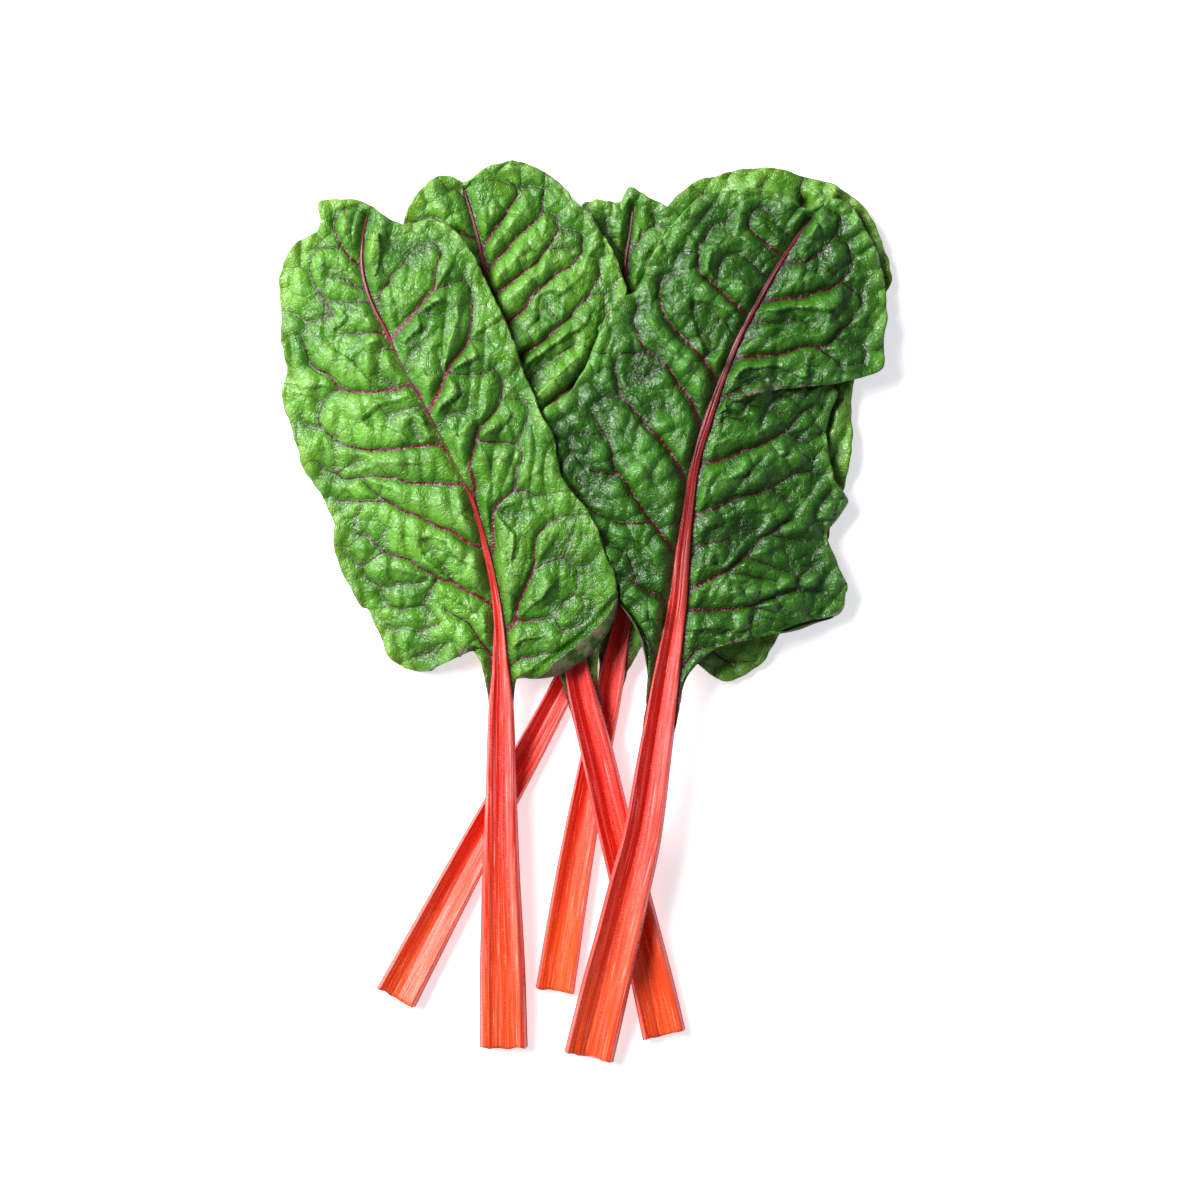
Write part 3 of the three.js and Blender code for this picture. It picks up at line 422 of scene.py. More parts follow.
            (-84.5, -173.5, 0, 19.3), (-60, -127.5, 0, 16.8), (-37, -85, 0, 14.3),
            (-21.5, -57, 0, 12.6), (-4, -24, 0, 10.6), (8, -2, 0, 8.2), (18, 17, 0, 6.6),
            (30, 40, 0, 5.2), (43, 65, 0, 4.4), (56, 90, 0, 3.8), (68, 114, 0, 3.2),
            (79, 136, 0, 2.6), (88, 155, 0, 2), (95, 172, 0, 1.5), (99, 184, 0, 1),
        ),
        "left": (
            (-30, -14, -26.4, 3.2, 0), (-22, -14, -12, 2.8, 0), (-14, -15, 4, 2.2, 0),
            (-4, -14, 22, 1.7, 0), (8, -12, 42, 1.5, 0), (20, -7, 62, 1.4, 0),
            (34, -1, 82, 1.4, 0), (50, 6, 102, 1.4, 0), (66, 13, 122, 1.4, 0),
            (84, 20, 140, 1.4, 0), (102, 26, 157, 1.4, 0), (118, 31, 171, 1.4, 0),
            (132, 37, 182.5, 1.8, 0), (144, 46, 190, 2.4, 0), (154, 58, 195, 2.8, 0),
            (164, 70, 198, 3, 0), (172, 81, 199.5, 3, 0), (184, 91, 197.5, 2.8, 0),
        ),
        "apex": (99, 195, 2.6, 0),
        "right": (
            (-30, -0.5, -33.6, 3.2, 0), (-22, 6, -23, 2.8, 0), (-14, 18, -13, 2.4, 0),
            (-6, 34, -10, 2, 0), (2, 47, -17, 1.6, 0), (8, 55, -27, 1.4, 0), (14, 64, -31, 1.4, 0),
            (20, 75, -27, 1.5, 0), (27, 86, -14, 1.6, 0), (35, 96, 2, 1.6, 0),
            (46, 104, 20, 1.6, 0), (58, 111, 40, 1.8, 0), (70, 117, 58, 2, 0),
            (84, 120, 78, 2.2, 0), (98, 119.5, 98, 2, 0), (112, 124, 114, 1.8, 0),
            (126, 130, 129, 1.8, 0), (138, 134.5, 141, 2, 0), (147, 137.5, 148, 2.4, 0),
            (156, 134.5, 160, 2.4, 0), (164, 130.5, 171, 2.4, 0), (171, 124, 182, 2.4, 0),
            (177, 115, 190, 2.6, 0), (184, 107, 193.5, 2.6, 0),
        ),
        "veins": (
            (0.6, (98, 184), (96.3, 188.6), (97.7, 193.9)),
            (0.7, (88, 155), (72, 172), (60, 182), (52, 188)),
            (0.7, (88, 155), (104, 160), (118, 168), (124, 176)),
            (0.7, (79, 136), (98, 140), (116, 142), (130, 150)),
            (0.7, (43, 65), (66, 72), (90, 78), (110, 90)),
            (0.7, (30, 40), (56, 44), (82, 52), (104, 64)),
            (0.7, (8, -2), (30, -4), (50, -12), (64, -22), (74, -22)),
        ),
    },
}


def linear(hex_colour):
    """A colour written as sRGB hex, as the four linear numbers that a shader takes."""
    parts = [int(hex_colour[i : i + 2], 16) / 255 for i in (1, 3, 5)]
    return [c / 12.92 if c <= 0.04045 else ((c + 0.055) / 1.055) ** 2.4 for c in parts] + [1.0]


def mixed(one, two, share):
    """The colour that lies a share of the way from one colour to another."""
    return [a + (b - a) * share for a, b in zip(one, two)]


def smooth(knots, rows, at):
    """Rows of numbers read along a smooth line through them: each span is a cubic whose end slopes
    are those of the chords between its neighbours."""
    knots, rows = np.asarray(knots, float), np.asarray(rows, float)
    last = len(knots) - 1
    i = np.clip(np.searchsorted(knots, at, side="right") - 1, 0, last - 1)
    order = np.arange(last + 1)
    before, after = np.maximum(order - 1, 0), np.minimum(order + 1, last)
    slopes = (rows[after] - rows[before]) / (knots[after] - knots[before])[:, None]
    span = (knots[i + 1] - knots[i])[:, None]
    s = (np.asarray(at, float) - knots[i])[:, None] / span
    return (
        (2 * s**3 - 3 * s**2 + 1) * rows[i]
        + (s**3 - 2 * s**2 + s) * span * slopes[i]
        + (3 * s**2 - 2 * s**3) * rows[i + 1]
        + (s**3 - s**2) * span * slopes[i + 1]
    )


def ease(low, high, value):
    """0 below low, 1 above high, and a smooth step between."""
    t = np.clip((np.asarray(value, float) - low) / (high - low), 0, 1)
    return t * t * (3 - 2 * t)


def rib_at(leaf, y):
    """The stalk's or rib's axis, width, height and level direction across it, at each y."""
    ys = np.array([row[1] for row in leaf["stalk"]], float)
    y = np.clip(y, ys[0], ys[-1])
    row, ahead, behind = (smooth(ys, leaf["stalk"], y + step) for step in (0, 0.5, -0.5))
    lean = ahead[:, 0] - behind[:, 0]
    across = np.stack([np.ones_like(lean), -lean], 1)
    across /= np.linalg.norm(across, axis=1)[:, None]
    width = row[:, 3]
    return row[:, :3], width, 1.4 + 0.29 * width, across


def waves(points, scale, seed):
    """Smooth noise of about -1 to 1 at each plan point, with humps about scale millimetres wide."""
    return np.array([noise.noise((x / scale, y / scale, seed)) for x, y in points]) * 2


# ---------------------------------------------------------------- veins


def vein_segments(leaf):
    """Every side vein cut into short straight segments: starts, ends and half-width at each."""
    starts, ends, widths = [], [], []
    for vein in leaf["veins"]:
        points = np.array(vein[1:], float)
        knots = np.arange(len(points))
        fine = smooth(knots, points, np.linspace(0, knots[-1], 6 * knots[-1] + 1))
        rough = np.array([noise.noise_vector((x / 9, y / 9, leaf["seed"]))[:2] for x, y in fine])
        fade = np.minimum(1, np.arange(len(fine)) / 4)[:, None]
        fine = fine + 1.1 * rough * fade
        share = np.linspace(0, 1, len(fine))
        width = vein[0] * (1 - 0.72 * share)
        starts.append(fine[:-1])
        ends.append(fine[1:])
        widths.append(width[:-1])
    return np.concatenate(starts), np.concatenate(ends), np.concatenate(widths)


def vein_distance(points, leaf):
    """How far each plan point lies from the middle of the nearest side vein, the same with a sign
    for the side it lies on, and that vein's half-width there."""
    starts, ends, widths = vein_segments(leaf)
    along = ends - starts
    length2 = (along**2).sum(1) + 1e-9
    gap, side, size = (np.empty(len(points)) for _ in range(3))
    for low in range(0, len(points), 4000):
        part = slice(low, low + 4000)
        away = points[part, None, :] - starts
        t = np.clip((away * along).sum(2) / length2, 0, 1)
        off = np.linalg.norm(away - t[..., None] * along, axis=2)
        i = (off - widths).argmin(1)
        row = np.arange(len(i))
        gap[part], size[part] = off[row, i], widths[i]
        cross = along[i, 0] * away[row, i, 1] - along[i, 1] * away[row, i, 0]
        side[part] = np.sign(cross) * off[row, i]
    return gap, side, size


def net_seeds(points, leaf, spacing, rng):
    """Centres of the cells between the small veins. They stand in pairs on either side of each side
    vein, so that the small veins meet it squarely, and are scattered evenly elsewhere."""
    starts, ends, _ = vein_segments(leaf)
    kept = []
    grid = {}

    def clear(x, y, gap):
        gx, gy = int(x // spacing), int(y // spacing)
        near = [q for i in (-1, 0, 1) for j in (-1, 0, 1) for q in grid.get((gx + i, gy + j), ())]
        return all((x - a) ** 2 + (y - b) ** 2 >= gap * gap for a, b in near)

    def keep(x, y):
        kept.append((x, y))
        grid.setdefault((int(x // spacing), int(y // spacing)), []).append((x, y))

    walked = 0.0
    for a, b in zip(starts, ends):
        step = b - a
        walked += np.linalg.norm(step)
        if walked < spacing:
            continue
        walked = rng.uniform(-0.35, 0.2) * spacing
        side = np.array([-step[1], step[0]]) / (np.linalg.norm(step) + 1e-9)
        reach = spacing * rng.uniform(0.45, 0.6)
        pair = [a + side * reach, a - side * reach]
        if all(clear(x, y, 0.62 * spacing) for x, y in pair):
            for x, y in pair:
                keep(x, y)
    low, high = points.min(0) - 4, points.max(0) + 4
    tries = int(9 * np.prod(high - low) / spacing**2)
    for x, y in rng.uniform(low, high, (tries, 2)):
        if clear(x, y, 0.86 * spacing):
            keep(x, y)
    return kept


def net_distance(points, seeds, warp, seed):
    """How far each plan point lies from the line between its two nearest cells, and the same with a
    sign for the side it lies on."""
    tree = KDTree(len(seeds))
    for i, (x, y) in enumerate(seeds):
        tree.insert((x, y, 0), i)
    tree.balance()
    gap, side = np.empty(len(points)), np.empty(len(points))
    for i, (x, y) in enumerate(points):
        shift = noise.noise_vector((x / (4 * warp), y / (4 * warp), seed))
        spot = (x + warp * shift[0], y + warp * shift[1], 0)
        (one, first, near), (two, second, far) = tree.find_n(spot, 2)
        gap[i] = (far * far - near * near) / (2 * (one - two).length + 1e-9)
        side[i] = gap[i] if first < second else -gap[i]
    return gap, side


# ---------------------------------------------------------------- blades


def spokes_of(leaf):
    """The blade's spokes from the right wing round the tip to the left wing, as rows of y on the
    rib, side, and the margin's x, y, z and roll."""
    tip = leaf["stalk"][-1][1]
    right = [wing_tail(leaf, 1)] + [(r[0], 1, *r[1:]) for r in leaf["right"]]
    left = [(r[0], -1, *r[1:]) for r in reversed(leaf["left"])] + [wing_tail(leaf, -1)]
    return right + [(tip, 0, *leaf["apex"])] + left


def wing_tail(leaf, side):
    """The spoke where a wing has thinned to nothing against the stalk's flank."""
    y = leaf["right"][0][0] - WING_TAIL
    axis, width, height, across = (part[0] for part in rib_at(leaf, np.array([y])))
    x, y_out = axis[:2] + across * side * (width / 2 - 0.1)
    return y, side, x, y_out, axis[2] + SEAM * height, 0


def blade_sheet(leaf, u, v, size):
    """Where a blade's upper face lies, for u from rib to margin and v from wing to wing: its points
    in plan and their heights, and by name the points with the rolled margin laid flat, the
    millimetres to the margin, how much of its relief the blade keeps (calm), how far it is out of the
    wings (arch), where it bulges over the rib, how pale its margin is, and how far it is in the
    wings."""
    spokes = spokes_of(leaf)
    t = even_steps(leaf, spokes, v)
    row = smooth(np.arange(len(spokes)), spokes, t)
    side = np.clip(row[:, 1], -1, 1)
    axis, width, height, across = rib_at(leaf, row[:, 0])
    along = np.stack([-across[:, 1], across[:, 0]], 1)
    tuck = np.minimum(size.rib_overlap / MM, 0.35 * width)
    cover = np.zeros(len(row))
    if leaf["cover"]:
        low, high = leaf["cover"]
        cover = ease(low - 7, low + 7, row[:, 0]) * ease(high + 7, high - 7, row[:, 0]) * (side > 0)
    reach_in = side * (width / 2 - tuck) - cover * (0.82 * width - tuck)
    inner = axis[:, :2] + across * reach_in[:, None]
    inner += along * ((1 - np.abs(side)) * -0.5)[:, None]
    inner_z = axis[:, 2] + (SEAM + 0.5 * cover) * height + cover
    margin, margin_z, roll = row[:, 2:4], row[:, 4], np.maximum(row[:, 5], 0)
    base = leaf["right"][0][0]
    wing = ease(base + 16, base + 2, row[:, 0])
    margin = inner + (margin - inner) * (1 - 0.55 * wing)[:, None]
    fringe = ease(0, 2, np.minimum(t, len(spokes) - 1 - t))
    margin = margin + (fringe * margin_wobble(leaf, v))[:, None] * direction(inner, margin)
    reach = np.linalg.norm(margin - inner, axis=1)
    radius = np.minimum(size.roll_radius / MM, roll / 4)
    bend = reach - radius
    s = u * (bend + roll)
    curl = np.clip((s - bend) / np.maximum(radius, 1e-6), 0, math.pi)
    after = np.maximum(s - bend - math.pi * radius, 0)
    out = np.minimum(s, bend) + np.where(s > bend, radius * np.sin(curl) - after, 0)
    lift = np.where(s > bend, radius * (1 - np.cos(curl)) + 0.12 * after, 0)
    share = np.clip(out / reach, 0, 1)
    towards = direction(inner, margin)
    xy = inner + towards * out[:, None]
    arch = np.clip((np.minimum(t, len(spokes) - 1 - t) - 0.6) / 4, 0, 1)
    z = inner_z + (margin_z - inner_z) * share + arch * ARCH * 4 * share * (1 - share)
    z += arch * leaf["ruffle"] * share**2 * np.sin(2 * math.pi * RUFFLES * v)
    z += lift + cover * HUMP * share * (1 - share) ** 3
    flat = inner + towards * s[:, None]
    tucked = ease(0.5, 2.5, roll) * ease(bend - roll - 4, bend - roll + 1, s)
    calm = (1 - 0.9 * tucked) * np.where(s > bend, np.cos(curl), 1)
    return xy, z, {
        "flat": flat,
        "rim_gap": bend + roll - s,
        "calm": calm,
        "arch": arch,
        "bulge": cover * ease(0.3, 1.6, s),
        "pale": np.where(side < 0, *leaf["pale"]),
        "wing": wing,
    }


def even_steps(leaf, spokes, v):
    """The place among the spokes of each share round a blade, so that equal shares are equally long
    on its margin and its rib together."""
    rows = np.array(spokes, float)
    hop = np.linalg.norm(np.diff(rows[:, 2:4], axis=0), axis=1) + 0.5 * np.abs(np.diff(rows[:, 0]))
    length = np.concatenate([[0], np.cumsum(hop)])
    return np.interp(v * length[-1], length, np.arange(len(rows)))


def direction(start, end):
    """The level direction from each start to its end, one long."""
    step = end - start
    return step / (np.linalg.norm(step, axis=1)[:, None] + 1e-9)


def margin_wobble(leaf, v):
    """Small in-and-out waves of a blade's margin, in millimetres."""
    line = np.stack([v * 40, np.zeros_like(v)], 1)
    fine = np.stack([v * 130, np.zeros_like(v)], 1)
    return 0.9 * waves(line, 1.0, leaf["seed"] + 0.3) + 0.35 * waves(fine, 1.0, leaf["seed"] + 0.7)


def blade_relief(leaf, flat, rim, size):
    """How far a blade stands proud of its veins at each flat point, and the distances that give it.
    Humps 24, 15 and 5 mm wide vary it, and folds 9 mm wide run with the rib, 2.6 times as long."""
    rng = np.random.default_rng(leaf["seed"])
    vein = vein_distance(flat, leaf)
    seed = leaf["seed"]
    cells = net_distance(flat, net_seeds(flat, leaf, NET_SPACING, rng), 2.0, seed)
    small = net_distance(flat, net_seeds(flat, leaf, MESH_SPACING, rng), 0.8, seed + 5)
    away, thick = np.maximum(vein[0] - vein[2], 0), vein[2]
    rib = np.subtract(leaf["stalk"][-1][:2], leaf["stalk"][-3][:2])
    rib = rib / np.linalg.norm(rib)
    grain = np.stack([flat @ np.array([rib[1], -rib[0]]), flat @ rib / 2.6], 1)
    big, middle, folds = waves(flat, 24, seed + 2), waves(flat, 15, seed + 7), waves(grain, 9, seed + 3)
    strength = 0.3 + 0.7 * ease(0.25, 0.75, thick)
    steep = 1 - np.exp(-away / 1.6)
    broad = 1 - np.exp(-away / 7)
    rise = size.pillow_height / MM * strength * (0.36 * steep + 0.64 * broad) * (1 + 0.5 * big)
    tight = ease(-0.3, 0.8, middle) * (1 - ease(10, 2, rim)) + 0.7 * ease(10, 2, rim)
    bulge = 1 - np.exp(-cells[0] / 1.3)
    crumple = waves(flat, 5, seed + 9)
    rise += leaf["puff"] * size.pucker_height / MM * bulge * (0.15 + 0.85 * tight)
    rise += size.fold_height / MM * np.abs(folds) ** 0.8 * (0.2 + 0.8 * broad)
    rise += 0.4 * leaf["puff"] * np.abs(crumple) ** 0.8 * (0.3 + 0.7 * bulge)
    rise += 0.2 * (1 - np.exp(-small[0] / 0.7))
    rise += 0.3 * np.sqrt(np.clip(1 - vein[0] / np.maximum(thick, 0.1), 0, 1))
    return np.maximum(rise, 0), vein, cells, small


class Lid:
    """The lowest height that the leaves above leave free, in a square of cells over the bunch."""

    STEP = 1.5  # a cell's side
    HALF = 160  # cells from the middle to the square's side

    def __init__(self):
        self.heights = np.full((2 * self.HALF, 2 * self.HALF), 1e3)

    def cell(self, xy):
        spot = np.round(xy / self.STEP).astype(int) + self.HALF
        return np.clip(spot, 0, 2 * self.HALF - 1)

    def add(self, xy, z):
        spot = self.cell(xy)
        np.minimum.at(self.heights, (spot[:, 0], spot[:, 1]), z)

    def at(self, xy):
        spot = self.cell(xy)
        return self.heights[spot[:, 0], spot[:, 1]]


def object_from(bm, name, points, materials):
    """A finished mesh from a bmesh whose vertices go to points, in millimetres."""
    if not np.isfinite(points).all():
        raise ValueError(f"{name} has points that are not numbers")
    mesh = bpy.data.meshes.new(name)
    bm.to_mesh(mesh)
    bm.free()
    mesh.vertices.foreach_set("co", (points * MM).astype(np.float32).ravel())
    mesh.shade_smooth()
    for material in materials:
        mesh.materials.append(material)
    obj = bpy.data.objects.new(name, mesh)
    bpy.context.scene.collection.objects.link(obj)
    return obj


def keep_field(obj, name, values):
    """Stores one number for each vertex, for the materials to read."""
    if not np.isfinite(values).all():
        raise ValueError(f"{obj.name} has a {name} that is not a number")
    field = obj.data.attributes.new(name, "FLOAT", "POINT")
    field.data.foreach_set("value", values.astype(np.float32))


def coordinates(bm):
    """Where each vertex is, one row for each."""
    return np.array([v.co for v in bm.verts])


def own_shift(leaf_name, points):
    """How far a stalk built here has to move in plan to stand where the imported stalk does."""
    low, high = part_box(f"stalk_{leaf_name}")
    wanted = np.array([(low.x + high.x) / 2, (low.y + high.y) / 2]) / MM
    return wanted - (points.max(0)[:2] + points.min(0)[:2]) / 2


def build_blade(name, leaf, size, lid, shift, materials):
    """One leaf's blade: a grid laid between rib and margin, raised by its relief, pressed under the
    leaves above and given a thickness."""
    bm = bmesh.new()
    hidden = name in ("back_middle", "back_right")
    segments = size.hidden_grid if hidden else size.shown_grid
    bmesh.ops.create_grid(bm, x_segments=segments[0], y_segments=segments[1], size=1)
    unit = coordinates(bm) / 2 + 0.5
    xy, z, sheet = blade_sheet(leaf, unit[:, 0], unit[:, 1], size)
    rise, vein, cells, small = blade_relief(leaf, sheet["flat"], sheet["rim_gap"], size)
    rise *= 0.1 + 0.9 * sheet["arch"]
    beside = rib_gap(leaf, xy)
    z = z + rise * sheet["calm"] * (0.1 + 0.9 * ease(0, 4.5, beside))
    thickness = size.blade_thickness / MM
    z = np.maximum(np.minimum(z, lid.at(xy) - LEAF_GAP), thickness + TABLE_GAP)
    points = np.column_stack([xy + shift, z])
    lid.add(xy, z - thickness)
    obj = object_from(bm, f"leaf_blade_{name}", points, materials)
    for field, values in (
        ("vein_gap", vein[0]),
        ("vein_side", vein[1]),
        ("vein_size", vein[2]),
        ("net_gap", cells[0]),
        ("net_side", cells[1]),
        ("mesh_gap", small[0]),
        ("mesh_side", small[1]),
        ("wing", sheet["wing"]),
        ("rim_gap", sheet["rim_gap"]),
        ("pale", sheet["pale"]),
        # the flap that lies over the rib is kept out of the painted shade beside the rib
        ("rib_gap", beside + 3 * sheet["bulge"]),
        ("rise", rise),
    ):
        keep_field(obj, field, values)
    wall = obj.modifiers.new("thickness", "SOLIDIFY")
    wall.thickness = size.blade_thickness
    wall.offset = -1
    wall.material_offset = 1
    wall.material_offset_rim = 1
    return obj


def rib_gap(leaf, xy):
    """How far each plan point lies from the rib's flank."""
    ys = np.linspace(leaf["stalk"][0][1], leaf["stalk"][-1][1], 240)
    axis, width, _, _ = rib_at(leaf, ys)
    gap = np.full(len(xy), 1e9)
    for spot, half in zip(axis[:, :2], width / 2):
        gap = np.minimum(gap, np.hypot(*(xy - spot).T) - half)
    return np.maximum(gap, 0)


# ---------------------------------------------------------------- stalks


def stalk_section(leaf, turn, y, width, height, size):
    """The stalk's section at each turn round it, 0 at the left rim and a half at the right one, over
    the top first: how far across, and how high above the keel, in millimetres."""
    top = turn < 0.5
    share = np.where(top, turn * 2, (1 - turn) * 2)
    across = -np.cos(share * math.pi)
    across = np.where(top, np.sign(across) * np.abs(across) ** 0.8, across)
    foot = leaf["stalk"][0][1]
    base = leaf["right"][0][0]
    blade = ease(base + 14, base + 52, y)
    channel = leaf["channel"] * (0.6 + 0.4 * ease(foot, foot + 60, y)) * (1 - 0.85 * blade)
    rim = 1 - across**2
    hollow = 1 - 0.82 * channel * np.clip(1 - np.abs(across + 0.12) / 0.8, 0, 1) ** 0.9
    dome = 1 + 0.25 * blade * rim
    lip = ease(0, 0.16, 1 - np.abs(across))
    upper = height * (SEAM + 0.38 * lip) * np.where(top, hollow, 1) * dome
    lower = height * 0.6 * (1 - np.sqrt(np.clip(1 - across**2, 0, 1)) ** 0.7)
    z = np.where(top, upper, lower)
    where = across * width / 2
    rough = np.zeros_like(z)
    rng = np.random.default_rng(leaf["seed"] + 100)
    for _ in range(STRINGS):
        at, wide, tall = rng.uniform(-0.92, 0.92), rng.uniform(0.35, 0.8), rng.uniform(0.3, 1.2)
        drift = 0.03 * np.sin(y / rng.uniform(30, 60) + rng.uniform(0, 6))
        rough += tall * np.exp(-(((across - at - drift) * width / 2) / wide) ** 2)
    fade = 1 - 0.75 * blade
    outwards = np.where(top, 1, -1)
    z = z + outwards * size.ridge_height / MM * rough * fade * np.minimum(width / 12, 1)
    return where, z


def build_stalk(name, leaf, size, materials):
    """One leaf's stalk with its rib: a cylinder whose rings take the stalk's section and follow its
    axis. Gives the piece, how far it was moved in plan, and its points before that."""
    sides, steps = size.stalk_grid
    bm = bmesh.new()
    bmesh.ops.create_cone(
        bm, cap_ends=True, cap_tris=False, segments=sides, radius1=1, radius2=1, depth=2
    )
    walls = [e for e in bm.edges if abs(e.verts[0].co.z - e.verts[1].co.z) > 1]
    bmesh.ops.subdivide_edges(bm, edges=walls, cuts=steps - 1, use_grid_fill=True)
    bmesh.ops.reverse_faces(bm, faces=bm.faces)
    for f in [f for f in bm.faces if len(f.verts) > 4]:
        f.material_index = 1
        f.smooth = False
    unit = coordinates(bm)
    foot, tip = leaf["stalk"][0][1], leaf["stalk"][-1][1]
    y = foot + (tip - foot) * (unit[:, 2] + 1) / 2
    turn = (np.arctan2(unit[:, 1], -unit[:, 0]) / (2 * math.pi)) % 1
    axis, width, height, side = rib_at(leaf, y)
    where, z = stalk_section(leaf, turn, y, width, height, size)
    along = np.stack([-side[:, 1], side[:, 0]], 1)
    ragged = 0.5 * waves(np.stack([where, z], 1), 4, leaf["seed"]) * ease(8, 0, y - foot)
    xy = axis[:, :2] + side * where[:, None] + along * ragged[:, None]
    points = np.column_stack([xy, axis[:, 2] + z])
    shift = own_shift(name, points)
    points[:, :2] += shift
    points[:, 2] = np.maximum(points[:, 2], STALK_GAP)
    obj = object_from(bm, f"leaf_stalk_{name}", points, materials)
    base = leaf["right"][0][0]
    for field, values in (
        ("across", where),
        ("along", y - foot),
        ("edge", 1 - np.abs(where) / (width / 2)),
        ("blade", ease(base + 25 - 35 * leaf["depth"], base + 105 - 15 * leaf["depth"], y)),
        # which wall of the channel a point lies on, for the painted shade and painted light on the
        # walls
        ("wall", np.clip((where / (width / 2) + 0.1) * 1.5, -1, 1) * leaf["channel"] * 1.2),
        ("tip", ease(base + 60, tip, y)),
        ("foot", leaf["orange"] * ease(130, 0, y - foot)),
    ):
        keep_field(obj, field, values)
    return obj, shift, xy, axis[:, 2] + z


# ---------------------------------------------------------------- materials


def add(tree, kind, inputs=None, **settings):
    """Adds a node, gives it its settings, and fills or links its inputs."""
    node = tree.nodes.new(kind)
    for name, value in settings.items():
        setattr(node, name, value)
    for key, value in (inputs or {}).items():
        if isinstance(value, bpy.types.Node):
            value = value.outputs[0]
        if isinstance(value, bpy.types.NodeSocket):
            tree.links.new(value, node.inputs[key])
        else:
            node.inputs[key].default_value = value
    return node


FACTOR, COLOUR_A, COLOUR_B, COLOUR = 0, 6, 7, 2  # a Mix node's colour sockets


def new_material(name):
    """A material with an empty node tree, and that tree."""
    material = bpy.data.materials.new(name)
    material.use_nodes = True
    material.node_tree.nodes.clear()
    return material, material.node_tree


def kept(tree, *names):
    """The numbers that a piece keeps at each point under these names."""
    return [add(tree, "ShaderNodeAttribute", attribute_name=n).outputs["Fac"] for n in names]


def shares(tree, rows):
    """A share for each row of name, value, low, high, share at low and share at high: it steps
    smoothly from the one share to the other as the value rises from low to high."""
    return {
        name: add(tree, "ShaderNodeMapRange", dict(enumerate(row)), interpolation_type="SMOOTHSTEP")
        for name, *row in rows}


def paint(tree, tone, layers):
    """Lays colours over a tone in turn. A layer is a colour and the shares that are multiplied to say
    how thickly it covers."""
    for paint_colour, share, *more in layers:
        for factor in more:
            share = add(tree, "ShaderNodeMath", {0: share, 1: factor}, operation="MULTIPLY")
        tone = add(tree, "ShaderNodeMix", {FACTOR: share, COLOUR_A: tone, COLOUR_B: paint_colour},
                   data_type="RGBA").outputs[COLOUR]
    return tone


def relief(tree, rows):
    """The normal of fine relief laid over itself in turn, from rows of height, strength and the
    millimetres that a height of 1 stands for."""
    under = {}
    for height, strength, tall in rows:
        bump = add(tree, "ShaderNodeBump", {
            "Height": height, "Strength": strength, "Distance": tall * MM, **under})
        under = {"Normal": bump}
    return bump


def line_mask(tree, name, width, soft):
    """1 on a line whose distance is kept in a blade's two fields, 0 off it. The signed field places
    the line exactly; the other one drops the false lines where the sign changes far from any."""
    side, gap = kept(tree, name + "_side", name + "_gap")
    near = add(tree, "ShaderNodeMath", {0: side, 1: 0.0}, operation="ABSOLUTE")
    far = add(tree, "ShaderNodeMath", {0: gap, 1: 0.8}, operation="SUBTRACT")
    gap = add(tree, "ShaderNodeMath", {0: near, 1: far}, operation="MAXIMUM")
    gap = add(tree, "ShaderNodeMath", {0: gap, 1: width}, operation="SUBTRACT")
    return shares(tree, [("line", gap, -soft, soft, 1, 0)])["line"]


